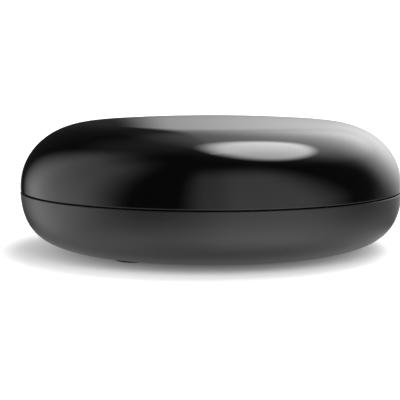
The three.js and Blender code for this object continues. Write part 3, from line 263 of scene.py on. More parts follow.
def hang_lamp(name, azimuth, elevation, distance, size, energy):
    """A round lamp that points at the player and stays out of the gloss. Azimuth 0 is towards the camera."""
    data = bpy.data.lights.new(name, "AREA")
    data.shape = "DISK"
    data.size = size
    data.energy = energy
    lamp = bpy.data.objects.new(name, data)
    turn, tilt = math.radians(azimuth + VIEW_AZIMUTH), math.radians(elevation)
    lamp.location = (
        distance * math.sin(turn) * math.cos(tilt),
        -distance * math.cos(turn) * math.cos(tilt),
        distance * math.sin(tilt),
    )
    lamp.rotation_euler = (math.pi / 2 - tilt, 0, turn)
    lamp.visible_glossy = False
    bpy.context.scene.collection.objects.link(lamp)


place_camera()
light_studio()
lay_floor()
hang_lamp("overhead_lamp", azimuth=0, elevation=88, distance=1.3, size=1.6, energy=3.0)
hang_lamp("front_lamp", azimuth=30, elevation=42, distance=1.3, size=1.0, energy=11.0)
bpy.context.scene.view_settings.view_transform = "Standard"

# ---- Upper shell -------------------------------------------------------------------------------------------
# The domed top is one moulding in black, polished to a mirror gloss, 2.2 mm thick. Three bosses hang inside
# it, and the screws that lie under the feet pull it down on to the lower shell.
BODY_RADIUS = 60.0
WIDEST_Z = 19.8
CROWN_Z = 41.2
UNDERSIDE_Z = 0.8
WALL = 2.2
UPPER_EDGE_Z = 18.9
LOWER_EDGE_Z = 18.5
CROWN_EDGE = 38.5
CROWN_SPHERE = 530.0
UNDERSIDE_EDGE = 36.5
BELLY_REACH, SIDE_REACH = 14.6, 15.4
SHOULDER_REACH, CROWN_REACH = 10.5, 13.0
UPPER_EDGE_ROUND = 0.28
RIM_STRAIGHT = 0.4
CASE_TURNS = 256
SUPPORT_ANGLES = (-90, 30, 150)
SUPPORT_CIRCLE = 35.0
BOSS_LOW, BOSS_HIGH = 12.3, 38.6
BOSS_TIP_RADIUS, BOSS_ROOT_RADIUS = 3.5, 4.2
PILOT_LOW, PILOT_TOP, PILOT_RADIUS = 12, 23, 1.6


def cubic(p0, p1, p2, p3, count):
    """Points of a cubic curve: its four control points weighted by the Bernstein terms of t from 0 to 1."""
    t = np.linspace(0, 1, count)[:, None]
    points = [np.array(p, float) for p in (p0, p1, p2, p3)]
    weights = [(1 - t) ** 3, 3 * (1 - t) ** 2 * t, 3 * (1 - t) * t**2, t**3]
    return sum(weight * point for weight, point in zip(weights, points))


def case_outline():
    """Radius and height of the case's outside, from the rim of the flat underside, up the belly, over the
    shoulder and along the crown, which is part of a large sphere, to the axis."""
    tilt = math.asin(CROWN_EDGE / CROWN_SPHERE)
    crown_drop = CROWN_SPHERE * (1 - math.cos(tilt))
    crown_rim = np.array([CROWN_EDGE, CROWN_Z - crown_drop])
    reach = CROWN_REACH * np.array([math.cos(tilt), -math.sin(tilt)])
    belly = cubic(
        (UNDERSIDE_EDGE, UNDERSIDE_Z),
        (UNDERSIDE_EDGE + BELLY_REACH, UNDERSIDE_Z),
        (BODY_RADIUS, WIDEST_Z - SIDE_REACH),
        (BODY_RADIUS, WIDEST_Z),
        60,
    )
    shoulder = cubic(
        (BODY_RADIUS, WIDEST_Z), (BODY_RADIUS, WIDEST_Z + SHOULDER_REACH), crown_rim + reach, crown_rim, 60
    )
    angles = np.linspace(tilt, 0, 26)[1:]
    crown = np.stack([CROWN_SPHERE * np.sin(angles), CROWN_Z - CROWN_SPHERE * (1 - np.cos(angles))], 1)
    return np.concatenate([belly, shoulder[1:], crown])


def inset(points, distance):
    """Each point moved inwards at right angles to the line through its two neighbours."""
    slope = np.gradient(points, axis=0)
    slope[-1] = (-1, 0)
    slope[0] = (1, 0)
    slope /= np.linalg.norm(slope, axis=1)[:, None]
    return points + distance * np.stack([-slope[:, 1], slope[:, 0]], 1)


def radius_at(points, z):
    """The outline's radius at a height below the crown."""
    return float(np.interp(z, points[:, 1], points[:, 0]))


def between(points, low, high):
    """The stretch of an outline between two heights, with its two ends put in exactly."""
    inner = points[(points[:, 1] > low + 0.02) & (points[:, 1] < high - 0.02)]
    first = [radius_at(points, low), low]
    last = [radius_at(points, high), high]
    return np.concatenate([[first], inner, [last]])


def rounded(before, corner, after, radius, steps=4):
    """A corner replaced by a short curve that leaves both sides at the given distance from it."""
    before, corner, after = (np.array(p, float) for p in (before, corner, after))
    start = corner + radius * (before - corner) / np.linalg.norm(before - corner)
    end = corner + radius * (after - corner) / np.linalg.norm(after - corner)
    t = np.linspace(0, 1, steps + 1)[:, None]
    return (1 - t) ** 2 * start + 2 * t * (1 - t) * corner + t**2 * end


def turned(profile, sides):
    """A surface of revolution: a grid of (profile point, angle), whose point is (r cos a, r sin a, z). A row
    on the axis is one vertex. A profile that starts or ends off the axis closes on itself."""
    profile = np.array(profile, float)
    angles = np.linspace(0, 2 * np.pi, sides, endpoint=False)
    radii, heights = profile[:, :1], profile[:, 1:]
    grid = np.stack([radii * np.cos(angles), radii * np.sin(angles), heights + 0 * angles], 2)
    on_axis = profile[:, 0] < 1e-9
    kept = ~on_axis[:, None] | (np.arange(sides) == 0)
    number = (np.cumsum(kept) - 1).reshape(kept.shape)
    number[on_axis] = number[on_axis][:, :1]
    if not (on_axis[0] and on_axis[-1]):
        number = np.concatenate([number, number[:1]])
    ahead = np.roll(number, -1, axis=1)
    corners = np.stack([number[:-1], ahead[:-1], ahead[1:], number[1:]], 2).reshape(-1, 4)
    faces = [list(dict.fromkeys(face)) for face in corners.tolist()]
    return grid[kept], [face for face in faces if len(face) > 2]


def moved(solid, x, y):
    """The same solid in another place."""
    points, faces = solid
    return points + np.array([x, y, 0.0]), faces


def closed_faces(count, rings=2):
    """Faces over rings of points that follow one another: quads between neighbours, and a cap at each end."""
    here = np.arange(count)
    there = (here + 1) % count
    starts = np.arange(rings - 1)[:, None] * count
    corners = [starts + here, starts + there, starts + there + count, starts + here + count]
    quads = np.stack(corners, 2).reshape(-1, 4).tolist()
    return [list(range(count))[::-1], list(range((rings - 1) * count, rings * count)), *quads]


def prism(outline, low, high):
    """A flat outline in X and Y, raised from one height to another."""
    outline = np.array(outline, float)
    count = len(outline)
    points = np.concatenate([np.c_[outline, np.full(count, low)], np.c_[outline, np.full(count, high)]])
    return points, closed_faces(count)


def disc(x, y, low, high, radius, sides=48, top_radius=None):
    """An upright cylinder, or a cone where the top has a radius of its own."""
    top = radius if top_radius is None else top_radius
    return moved(turned([(0, low), (radius, low), (top, high), (0, high)], sides), x, y)


def block(x, y, z):
    """A box from its limits along each axis."""
    return prism([(x[0], y[0]), (x[1], y[0]), (x[1], y[1]), (x[0], y[1])], *z)


def polar(radius, degrees):
    turn = math.radians(degrees)
    return radius * math.cos(turn), radius * math.sin(turn)


def as_object(name, *solids):
    """One mesh object, in metres, from solids in millimetres, with its faces turned outwards."""
    mesh = bpy.data.meshes.new(name)
    offset, points, faces = 0, [], []
    for vertices, polygons in solids:
        points.append(vertices)
        faces += [[offset + i for i in polygon] for polygon in polygons]
        offset += len(vertices)
    mesh.from_pydata((np.concatenate(points) * MM).tolist(), [], faces)
    shape = bmesh.new()
    shape.from_mesh(mesh)
    bmesh.ops.recalc_face_normals(shape, faces=shape.faces)
    shape.to_mesh(mesh)
    shape.free()
    made = bpy.data.objects.new(name, mesh)
    bpy.context.scene.collection.objects.link(made)
    return made


def settle(piece):
    """Makes a piece's modifiers part of its mesh."""
    shape = bpy.data.meshes.new_from_object(piece.evaluated_get(bpy.context.evaluated_depsgraph_get()))
    piece.modifiers.clear()
    piece.data = shape


def combine(piece, operation, *solids):
    """Joins solids to a piece or cuts them from it, exactly."""
    tool = as_object("tool", *solids)
    change = piece.modifiers.new("combine", "BOOLEAN")
    change.operation = operation
    change.solver = "EXACT"
    change.use_self = True
    change.object = tool
    settle(piece)
    bpy.data.objects.remove(tool)


def smooth(piece, angle=32.0):
    """Smooth shading, with an edge kept wherever faces meet at more than the angle."""
    piece.data.polygons.foreach_set("use_smooth", np.ones(len(piece.data.polygons), bool))
    piece.data.set_sharp_from_angle(angle=math.radians(angle))
    return piece


def own(piece, paint, body, slot, *stood_for):
    """Gives a piece its material and body, and hides the CAD nodes that it stands for. The finish slot is not
    used.
    """
    piece.data.materials.clear()
    piece.data.materials.append(paint)
    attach(piece, body)
    if stood_for:
        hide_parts(*stood_for)
    return piece


def new_group(name, inputs, outputs):
    """An empty node group with float inputs and outputs, and its two end nodes."""
    group = bpy.data.node_groups.new(name, "ShaderNodeTree")
    for key, value in inputs.items():
        socket = group.interface.new_socket(name=key, in_out="INPUT", socket_type="NodeSocketFloat")
        socket.default_value = value
    for key in outputs:
        group.interface.new_socket(name=key, in_out="OUTPUT", socket_type="NodeSocketFloat")
    w = Wiring(group)
    return group, w, w.node("NodeGroupInput"), w.node("NodeGroupOutput")


def make_surface_group():
    """Grain is fine noise for bumps, and Patch is slow cloudy noise, as handling and moulding leave it."""
    group, w, start, end = new_group("surface", {"Grain Scale": 2500, "Patch Scale": 30}, ["Grain", "Patch"])
    place = w.node("ShaderNodeTexCoord").outputs["Object"]
    fine = w.node(
        "ShaderNodeTexNoise", {"Vector": place, "Scale": start.outputs["Grain Scale"], "Detail": 3.0}
    )
    slow = w.node(
        "ShaderNodeTexNoise", {"Vector": place, "Scale": start.outputs["Patch Scale"], "Detail": 4.0}
    )
    w.put(fine.outputs["Fac"], end.inputs["Grain"])
    w.put(w.ramp(slow.outputs["Fac"], 0.3, 0.7), end.inputs["Patch"])
    return group


surface_group = make_surface_group()


def paint(name, color, roughness, metallic=0.0, grain=(2500, 0.01), patch=(30, 0.03, 0.1), **sockets):
    """A procedural finish. grain is (scale, depth in millimetres) of a fine bump; patch is (scale, how far
    the roughness varies, how far the colour darkens) of a slow cloudy change."""
    made = bpy.data.materials.new(name)
    made.use_nodes = True
    w = Wiring(made.node_tree)
    shader = made.node_tree.nodes["Principled BSDF"]
    shader.inputs["Metallic"].default_value = metallic
    for key, value in sockets.items():
        shader.inputs[key.replace("_", " ")].default_value = value
    effect = w.node("ShaderNodeGroup", node_tree=surface_group)
    effect.inputs["Grain Scale"].default_value = grain[0]
    effect.inputs["Patch Scale"].default_value = patch[0]
    spread = w.ramp(effect.outputs["Patch"], 0, 1, roughness - patch[1], roughness + patch[1], "LINEAR")
    w.put(spread, shader.inputs["Roughness"])
    tint = w.node("ShaderNodeMix", data_type="RGBA")
    w.put(effect.outputs["Patch"], tint.inputs["Factor"])
    tint.inputs["A"].default_value = (*color, 1)
    tint.inputs["B"].default_value = (*[c * (1 - patch[2]) for c in color], 1)
    w.put(tint.outputs["Result"], shader.inputs["Base Color"])
    bump = w.node("ShaderNodeBump", {"Height": effect.outputs["Grain"], "Distance": grain[1] * MM})
    w.put(bump.outputs["Normal"], shader.inputs["Normal"])
    return made


outside = case_outline()
inside = inset(outside, WALL)
outer_rim = (radius_at(outside, UPPER_EDGE_Z), UPPER_EDGE_Z)
inner_rim = (radius_at(inside, UPPER_EDGE_Z), UPPER_EDGE_Z)
above_rim = between(outside, UPPER_EDGE_Z + RIM_STRAIGHT, CROWN_Z)
under_dome = between(inside, UPPER_EDGE_Z + RIM_STRAIGHT, CROWN_Z - WALL)
dome_profile = np.concatenate([
    [(0, CROWN_Z)],
    above_rim[-2::-1],
    rounded(above_rim[0], outer_rim, inner_rim, UPPER_EDGE_ROUND),
    rounded(outer_rim, inner_rim, under_dome[0], UPPER_EDGE_ROUND),
    under_dome[:-1],
    [(0, CROWN_Z - WALL)],
])
dome = as_object("upper_shell_moulding", turned(dome_profile, CASE_TURNS))
hanging, pilots = [], []
for angle in SUPPORT_ANGLES:
    x, y = polar(SUPPORT_CIRCLE, angle)
    hanging.append(disc(x, y, BOSS_LOW, BOSS_HIGH, BOSS_TIP_RADIUS, top_radius=BOSS_ROOT_RADIUS))
    pilots.append(disc(x, y, PILOT_LOW, PILOT_TOP, PILOT_RADIUS, 24))
combine(dome, "UNION", *hanging)
combine(dome, "DIFFERENCE", *pilots)
smooth(dome)
gloss_black = paint(
    "gloss_black", (0.0008, 0.0008, 0.0009), 0.035, grain=(380, 0.0006), patch=(16, 0.01, 0.2), IOR=1.5
)
own(dome, gloss_black, "case", "gloss_black", "upper_shell")

# ---- Lower shell -------------------------------------------------------------------------------------------
# The bowl is moulded in a dark satin plastic with a fine texture, 2.2 mm thick. Its rim carries the lip that
# centres the upper shell, and its floor has the feet's recesses, screw wells, board standoffs and vents.
FACE_Y = 43.87
JACK_MOUTH_Y = 41.77
LIP_OUTER = 57.45
LIP_INNER = 56.35
LIP_BOTTOM, LIP_TOP = 15.3, 20.9
LIP_GAP = 0.03
LIP_ROUND = 0.3
LOWER_EDGE_ROUND = 0.32
LOWER_BOSS_LOW, LOWER_BOSS_TOP, LOWER_BOSS_RADIUS = 2, 12, 4
RIB_HALF, RIB_THICKNESS, RIB_LOW, RIB_TOP = 18, 1.2, 1.95, 5.1
FOOT_SEAT_TOP, FOOT_SEAT_RADIUS = 1.4, 6.4
HEAD_WELL_TOP, HEAD_WELL_RADIUS = 5, 3
SHANK_HOLE_TOP, SHANK_HOLE_RADIUS = 13, 1.7
BEYOND = 80
BOARD_SCREW_PLACES = ((-30, -34), (30, -34), (0, 24))
STANDOFF_RADIUS = 2.6
STANDOFF_LOW, STANDOFF_TOP = 2.6, 5.6
BOARD_PILOT_LOW, BOARD_PILOT_TOP, BOARD_PILOT_RADIUS = 3, 6.6, 1.1
VENTS_PER_GROUP = 4
VENT_STEP = 14.0
VENT_INNER, VENT_OUTER, VENT_WIDTH, VENT_TOP = 28, 35, 1.6, 4


def slot_outline(inner, outer, width, degrees, steps=8):
    """A slot with round ends that points away from the axis."""
    half = width / 2
    turn = np.linspace(-np.pi / 2, np.pi / 2, steps + 1)
    end = np.c_[outer - half + half * np.cos(turn), half * np.sin(turn)]
    start = np.c_[inner + half - half * np.cos(turn), -half * np.sin(turn)]
    angle = math.radians(degrees)
    spin = np.array([[math.cos(angle), math.sin(angle)], [-math.sin(angle), math.cos(angle)]])
    return np.concatenate([end, start]) @ spin


lower_corner = (radius_at(outside, LOWER_EDGE_Z), LOWER_EDGE_Z)
belly = between(outside, UNDERSIDE_Z + 0.01, LOWER_EDGE_Z - RIM_STRAIGHT)
inner_wall = between(inside, UNDERSIDE_Z + WALL + 0.01, LIP_BOTTOM)
lip_corner = [(LIP_OUTER, LOWER_EDGE_Z), (LIP_OUTER, LIP_TOP), (LIP_INNER, LIP_TOP), (LIP_INNER, LIP_BOTTOM)]
bowl_profile = np.concatenate([
    [(0, UNDERSIDE_Z), (UNDERSIDE_EDGE * 0.5, UNDERSIDE_Z), (UNDERSIDE_EDGE, UNDERSIDE_Z)],
    belly[1:],
    rounded(belly[-1], lower_corner, lip_corner[0], LOWER_EDGE_ROUND),
    [lip_corner[0]],
    rounded(lip_corner[0], lip_corner[1], lip_corner[2], LIP_ROUND),
    rounded(lip_corner[1], lip_corner[2], lip_corner[3], LIP_ROUND),
    [lip_corner[3]],
    inner_wall[::-1],
    [(0, UNDERSIDE_Z + WALL)],
])
bowl = as_object("lower_shell_moulding", turned(bowl_profile, 208))
boss_size = (LOWER_BOSS_LOW, LOWER_BOSS_TOP, LOWER_BOSS_RADIUS)
bosses = [disc(*polar(SUPPORT_CIRCLE, a), *boss_size) for a in SUPPORT_ANGLES]
# the standoffs start within the floor's thickness, because it is already curving up at the front pair
standoffs = [disc(x, y, STANDOFF_LOW, STANDOFF_TOP, STANDOFF_RADIUS, 32) for x, y in BOARD_SCREW_PLACES]
rib = block((-RIB_HALF, RIB_HALF), (JACK_MOUTH_Y - RIB_THICKNESS, JACK_MOUTH_Y), (RIB_LOW, RIB_TOP))
combine(bowl, "UNION", *bosses, *standoffs, rib)
lip_sweep = np.radians(np.linspace(40, 140, 60))
lip_cut = (LIP_OUTER + LIP_GAP) * np.stack([np.cos(lip_sweep), np.sin(lip_sweep)], 1)
lip_cut = lip_cut[lip_cut[:, 1] > JACK_MOUTH_Y]
cuts = [block((-BEYOND, BEYOND), (FACE_Y, BEYOND), (-5, 60)), prism(lip_cut, LIP_BOTTOM - 0.01, 22)]
for angle in SUPPORT_ANGLES:
    x, y = polar(SUPPORT_CIRCLE, angle)
    cuts.append(disc(x, y, -1, FOOT_SEAT_TOP, FOOT_SEAT_RADIUS))
    cuts.append(disc(x, y, 0, HEAD_WELL_TOP, HEAD_WELL_RADIUS))
    cuts.append(disc(x, y, 0, SHANK_HOLE_TOP, SHANK_HOLE_RADIUS, 32))
    for i in range(VENTS_PER_GROUP):
        turn = angle + 60 + (i - (VENTS_PER_GROUP - 1) / 2) * VENT_STEP
        cuts.append(prism(slot_outline(VENT_INNER, VENT_OUTER, VENT_WIDTH, turn), 0, VENT_TOP))
pilot_size = (BOARD_PILOT_LOW, BOARD_PILOT_TOP, BOARD_PILOT_RADIUS)
cuts += [disc(x, y, *pilot_size, 24) for x, y in BOARD_SCREW_PLACES]
combine(bowl, "DIFFERENCE", *cuts)
smooth(bowl)
satin_black = paint(
    "satin_black", (0.010, 0.010, 0.0105), 0.31, grain=(4200, 0.02), patch=(22, 0.03, 0.12), IOR=1.5
)
own(bowl, satin_black, "case", "satin_black", "lower_shell")

# ---- Rear port panel ---------------------------------------------------------------------------------------
# A flat moulding in the lower shell's plastic closes the rear. Its holes frame the sockets, and its brow runs
# out to the rim and closes the underside of the upper shell above the plugs.
PANEL_BACK_Y = 42.07
BROW_BOTTOM = 16.9
BROW_FRONT_Y = FACE_Y + 0.3
PANEL_EDGE = 0.18
BOARD_TOP = 7.2
BUTTON_X, BUTTON_Z = 29.6, 10.6
VIDEO_X, POWER_X, ETHERNET_X, OPTICAL_X = 3.9, 20.6, -13.0, -26.2
SOCKET_LIFT = 0.3
VIDEO_WIDTH, VIDEO_HIGH, VIDEO_CORNER = 13.9, 4.8, 2.3
POWER_WIDTH, POWER_RADIUS = 8.34, 1.3
SOCKET_MARGIN = 0.6
ETHERNET_HALF, ETHERNET_LEVELS = 5.85, (9.5, 16.3)
LATCH_HALF, LATCH_LEVELS = 3.15, (7.9, 10)
OPTICAL_HALF, OPTICAL_LEVELS = 4, (8.05, 15.75)
BUTTON_HOLE_RADIUS = 2.5
BACKING_HALF, BACKING_DEPTHS = 36.3, (43, 44.7)
BROW_INNER, BROW_STEPS = 40, 97
BEVEL_SEGMENTS, BEVEL_ANGLE = 2, 38.0


def video_outline(margin):
    """The video socket's mouth in X and Z: a rectangle with its lower corners cut off, grown by a margin."""
    half = VIDEO_WIDTH / 2 + margin
    low, high = BOARD_TOP + SOCKET_LIFT - margin, BOARD_TOP + VIDEO_HIGH + margin
    right = [(half - VIDEO_CORNER, low), (half, low + VIDEO_CORNER), (half, high)]
    left = [(-x, z) for x, z in right[::-1]]
    return np.array(right + left) + np.array([VIDEO_X, 0])


def power_outline(margin, steps=12):
    """The power socket's mouth in X and Z: a slot with round ends, grown by a margin."""
    radius = POWER_RADIUS + margin
    centre = POWER_WIDTH / 2 - POWER_RADIUS
    z = BOARD_TOP + SOCKET_LIFT + POWER_RADIUS
    turn = np.linspace(-np.pi / 2, np.pi / 2, steps + 1)
    right = np.c_[POWER_X + centre + radius * np.cos(turn), z + radius * np.sin(turn)]
    left = np.c_[POWER_X - centre - radius * np.cos(turn), z - radius * np.sin(turn)]
    return np.concatenate([right, left])


def along_y(outline, low, high):
    """An outline in X and Z carried along Y."""
    points, faces = prism(outline, low, high)
    return points[:, [0, 2, 1]], faces


def rod(x, z, low, high, radius, sides=48):
    """A round bar that lies along Y."""
    points, faces = turned([(0, low), (radius, low), (radius, high), (0, high)], sides)
    return points[:, [0, 2, 1]] + np.array([x, 0, z]), faces


def arch(y, count=44):
    """The panel's outline at a depth: where the inset wall crosses that plane, x is the root of the wall's
    radius squared less y squared. Steps are short near the bottom, where x grows fastest."""
    wall = inset(outside, WALL + 0.3)
    wall = wall[: int(np.argmax(wall[:, 1] > LOWER_EDGE_Z)) + 1]
    start = float(np.interp(y, wall[:, 0], wall[:, 1]))
    heights = start + (LOWER_EDGE_Z - start) * np.linspace(0, 1, count) ** 2.5
    radii = np.interp(heights, wall[:, 1], wall[:, 0])
    x = np.sqrt(np.maximum(radii**2 - y**2, 0))
    half = np.c_[x, heights]
    return np.concatenate([half[:0:-1] * (-1, 1), [(0, start)], half[1:]])


def lofted(first, second, y0, y1):
    """A solid between two outlines of the same count, one at each depth."""
    count = len(first)
    points = np.concatenate([
        np.c_[first[:, 0], np.full(count, y0), first[:, 1]],
        np.c_[second[:, 0], np.full(count, y1), second[:, 1]],
    ])
    return points, closed_faces(count)


def brow():
    """The shelf: rings of the case's own radius at each height, cut straight at the front, with its two outer
    edges rounded."""
    low, high = BROW_BOTTOM, LOWER_EDGE_Z
    low_rim, high_rim = radius_at(outside, low), radius_at(outside, high)
    edge = np.concatenate([
        rounded((BROW_INNER, low), (low_rim, low), (high_rim, high), 0.25),
        rounded((low_rim, low), (high_rim, high), (BROW_INNER, high), 0.2),
    ])
    rings = []
    for radius, height in edge:
        end = math.asin(BROW_FRONT_Y / radius)
        turn = np.linspace(end, np.pi - end, BROW_STEPS)
        rings.append(np.c_[radius * np.cos(turn), radius * np.sin(turn), np.full(BROW_STEPS, height)])
    return np.concatenate(rings), closed_faces(BROW_STEPS, len(rings))


panel = as_object("port_panel_moulding", lofted(arch(PANEL_BACK_Y), arch(FACE_Y), PANEL_BACK_Y, FACE_Y))
combine(panel, "UNION", brow())
combine(panel, "UNION", block((-BACKING_HALF, BACKING_HALF), BACKING_DEPTHS, (BROW_BOTTOM, LOWER_EDGE_Z)))
through = (PANEL_BACK_Y - 1, FACE_Y + 0.25)
combine(
    panel,
    "DIFFERENCE",
    along_y(video_outline(SOCKET_MARGIN), *through),
    along_y(power_outline(SOCKET_MARGIN), *through),
    block((ETHERNET_X - ETHERNET_HALF, ETHERNET_X + ETHERNET_HALF), through, ETHERNET_LEVELS),
    block((ETHERNET_X - LATCH_HALF, ETHERNET_X + LATCH_HALF), through, LATCH_LEVELS),
    block((OPTICAL_X - OPTICAL_HALF, OPTICAL_X + OPTICAL_HALF), through, OPTICAL_LEVELS),
    rod(BUTTON_X, BUTTON_Z, *through, BUTTON_HOLE_RADIUS),
)


def bevelled(piece, width):
    """Small rounded edges, as moulded and stamped pieces have."""
    edge = piece.modifiers.new("edge", "BEVEL")
    edge.width = width * MM
    edge.segments = BEVEL_SEGMENTS
    edge.limit_method = "ANGLE"
    edge.angle_limit = math.radians(BEVEL_ANGLE)
    edge.use_clamp_overlap = True
    return smooth(piece, 60)


bevelled(panel, PANEL_EDGE)
own(panel, satin_black, "case", "satin_black", "port_panel")

# ---- Feet --------------------------------------------------------------------------------------------------
# Three discs of black rubber are stuck in recesses over the case screws. Their rims are soft, and a shallow
# ring is pressed into each so that it grips a smooth shelf.
FOOT_PROFILE = [
    (0, 0.12), (3.4, 0.12), (3.75, 0), (5.7, 0), (6.02, 0.08),
    (6.2, 0.28), (6.25, 0.5), (6.25, 1.2), (0, 1.2),
]
foot_rubber = paint("foot_rubber", (0.012, 0.012, 0.013), 0.72, grain=(1800, 0.02), patch=(60, 0.06, 0.25))
for name, angle in zip(("front", "rear_right", "rear_left"), SUPPORT_ANGLES):
    foot = as_object(f"foot_{name}_pad", moved(turned(FOOT_PROFILE, 64), *polar(SUPPORT_CIRCLE, angle)))
    own(smooth(foot), foot_rubber, "case", "foot_rubber", f"foot_{name}")

# ---- Rating label ------------------------------------------------------------------------------------------
# A blank grey film disc is stuck to the underside. Only a thin printed ring near its edge breaks it.
LABEL_RADIUS, LABEL_LOW = 20.0, 0.66
RING_INNER, RING_OUTER, RING_BLUR = 18.4, 18.8, 0.1
label = as_object("rating_label_film", disc(0, 0, LABEL_LOW, UNDERSIDE_Z, LABEL_RADIUS, 96))
label_grey = paint("label_grey", (0.17, 0.17, 0.175), 0.5, grain=(3000, 0.004), patch=(40, 0.05, 0.1))
w = Wiring(label_grey.node_tree)
place = w.node("ShaderNodeTexCoord").outputs["Object"]
flat = w.node("ShaderNodeVectorMath", {0: place, 1: (1, 1, 0)}, operation="MULTIPLY")
reach = w.node("ShaderNodeVectorMath", {0: flat.outputs["Vector"]}, operation="LENGTH").outputs["Value"]
ring = w.product(
    w.ramp(reach, RING_INNER * MM, (RING_INNER + RING_BLUR) * MM),
    w.ramp(reach, RING_OUTER * MM, (RING_OUTER + RING_BLUR) * MM, 1, 0),
)
shader = label_grey.node_tree.nodes["Principled BSDF"]
base = shader.inputs["Base Color"].links[0].from_socket
printed = w.node("ShaderNodeMix", {"Factor": ring, "A": base, "B": (0.4, 0.4, 0.4, 1)}, data_type="RGBA")
w.put(printed.outputs["Result"], shader.inputs["Base Color"])
own(label, label_grey, "case", "label_grey", "rating_label")

# ---- Screws, springs and ballast ---------------------------------------------------------------------------
# Steel parts, zinc plated: the case and board screws, the heat sink's springs and the ballast plate that
# keeps the light case from sliding when cables pull on it.
subparts = {part["node"]: part["material_slot"] for part in frame["record"]["subparts"]}
bodies = frame["record"]["behaviour"]["bodies"]
body_of = {node: body for body, members in bodies.items() for node in members}
WHOLE_FACE_ANGLE = 0.5


def refined(node, finish, edge=0.0):
    """A node's own shape with its triangles merged into whole faces, and its edges rounded where asked."""
    mesh = frame["nodes"][node].data.copy()
    shape = bmesh.new()
    shape.from_mesh(mesh)
    bmesh.ops.remove_doubles(shape, verts=shape.verts, dist=1e-6)
    bmesh.ops.dissolve_limit(
        shape,
        angle_limit=math.radians(WHOLE_FACE_ANGLE),
        verts=shape.verts,
        edges=shape.edges,
        use_dissolve_boundaries=False,
    )
    shape.to_mesh(mesh)
    shape.free()
    piece = bpy.data.objects.new(f"{node}_finished", mesh)
    bpy.context.scene.collection.objects.link(piece)
    if edge:
        bevelled(piece, edge)
    else:
        smooth(piece)
    return own(piece, finish, body_of[node], subparts[node], node)


zinc_steel = paint("zinc_steel", (0.52, 0.53, 0.55), 0.32, 1.0, grain=(900, 0.004), patch=(90, 0.07, 0.15))
for node in sorted(subparts):
    if node.startswith(("case_screw", "board_screw", "sink_spring")):
        refined(node, zinc_steel)
refined("ballast_plate", zinc_steel, 0.25)

# ---- Video and power sockets -------------------------------------------------------------------------------
# Each is a stamped, tin-plated shell round a black moulded insert, whose tongue carries gold-plated contacts
# on both faces.
SOCKET_MOUTH_Y = FACE_Y - 0.6
TONGUE_END_Y = SOCKET_MOUTH_Y - 1.0
CONTACT_THICKNESS = 0.05
VIDEO_TONGUE_LIFT = 2.25
VIDEO_CONTACT_OFFSET, POWER_CONTACT_OFFSET = 0.55, 0.35
tin_plate = paint("tin_plate", (0.62, 0.63, 0.64), 0.26, 1.0, grain=(1200, 0.003), patch=(120, 0.06, 0.12))
connector_black = paint(
    "connector_black", (0.018, 0.018, 0.019), 0.45, grain=(2600, 0.008), patch=(50, 0.05, 0.2)
)
gold_plate = paint("gold_plate", (0.78, 0.55, 0.22), 0.25, 1.0, grain=(1500, 0.002), patch=(200, 0.06, 0.15))
refined("hdmi_shell", tin_plate, 0.09)
refined("usb_c_shell", tin_plate, 0.09)
refined("hdmi_insert", connector_black, 0.1)
refined("usb_c_insert", connector_black, 0.08)


def contact_row(centre, z, count, pitch, width, length, end_y):
    """Flat strips side by side on a tongue's face."""
    strips = []
    for i in range(count):
        x = centre + (i - (count - 1) / 2) * pitch
        levels = (z - CONTACT_THICKNESS, z + CONTACT_THICKNESS)
        strips.append(block((x - width / 2, x + width / 2), (end_y - length, end_y), levels))
    return strips


video_z = BOARD_TOP + SOCKET_LIFT + VIDEO_TONGUE_LIFT
power_z = BOARD_TOP + SOCKET_LIFT + POWER_RADIUS
video_strip = {"pitch": 1.0, "width": 0.45, "length": 6.2, "end_y": TONGUE_END_Y - 0.5}
power_strip = {"pitch": 0.5, "width": 0.25, "length": 3.2, "end_y": TONGUE_END_Y - 0.4}
video_contacts = as_object(
    "video_contacts",
    *contact_row(VIDEO_X, video_z + VIDEO_CONTACT_OFFSET, 10, **video_strip),
    *contact_row(VIDEO_X, video_z - VIDEO_CONTACT_OFFSET, 9, **video_strip),
)
power_contacts = as_object(
    "power_contacts",
    *contact_row(POWER_X, power_z + POWER_CONTACT_OFFSET, 12, **power_strip),
    *contact_row(POWER_X, power_z - POWER_CONTACT_OFFSET, 12, **power_strip),
)
for contacts in (video_contacts, power_contacts):
    own(contacts, gold_plate, "case", "gold_plate")

# ---- Ethernet jack -----------------------------------------------------------------------------------------
# A tin-plated can folded round a black moulding, with eight gold-plated spring contacts over the plug's
# cavity.
refined("ethernet_shield", tin_plate, 0.12)
refined("ethernet_body", connector_black, 0.15)
refined("ethernet_contacts", gold_plate, 0.08)

# ---- Optical audio jack ------------------------------------------------------------------------------------
# A black moulding with a sprung dust shutter hung on two pins, and the clear lens of the emitter behind it.
refined("optical_body", connector_black, 0.15)
refined("optical_shutter", connector_black, 0.12)
clear_plastic = paint(
    "clear_plastic",
    (0.88, 0.91, 0.92),
    0.06,
    grain=(800, 0.001),
    patch=(50, 0.02, 0.05),
    Transmission_Weight=0.9,
    IOR=1.49,
)
refined("optical_emitter", clear_plastic)

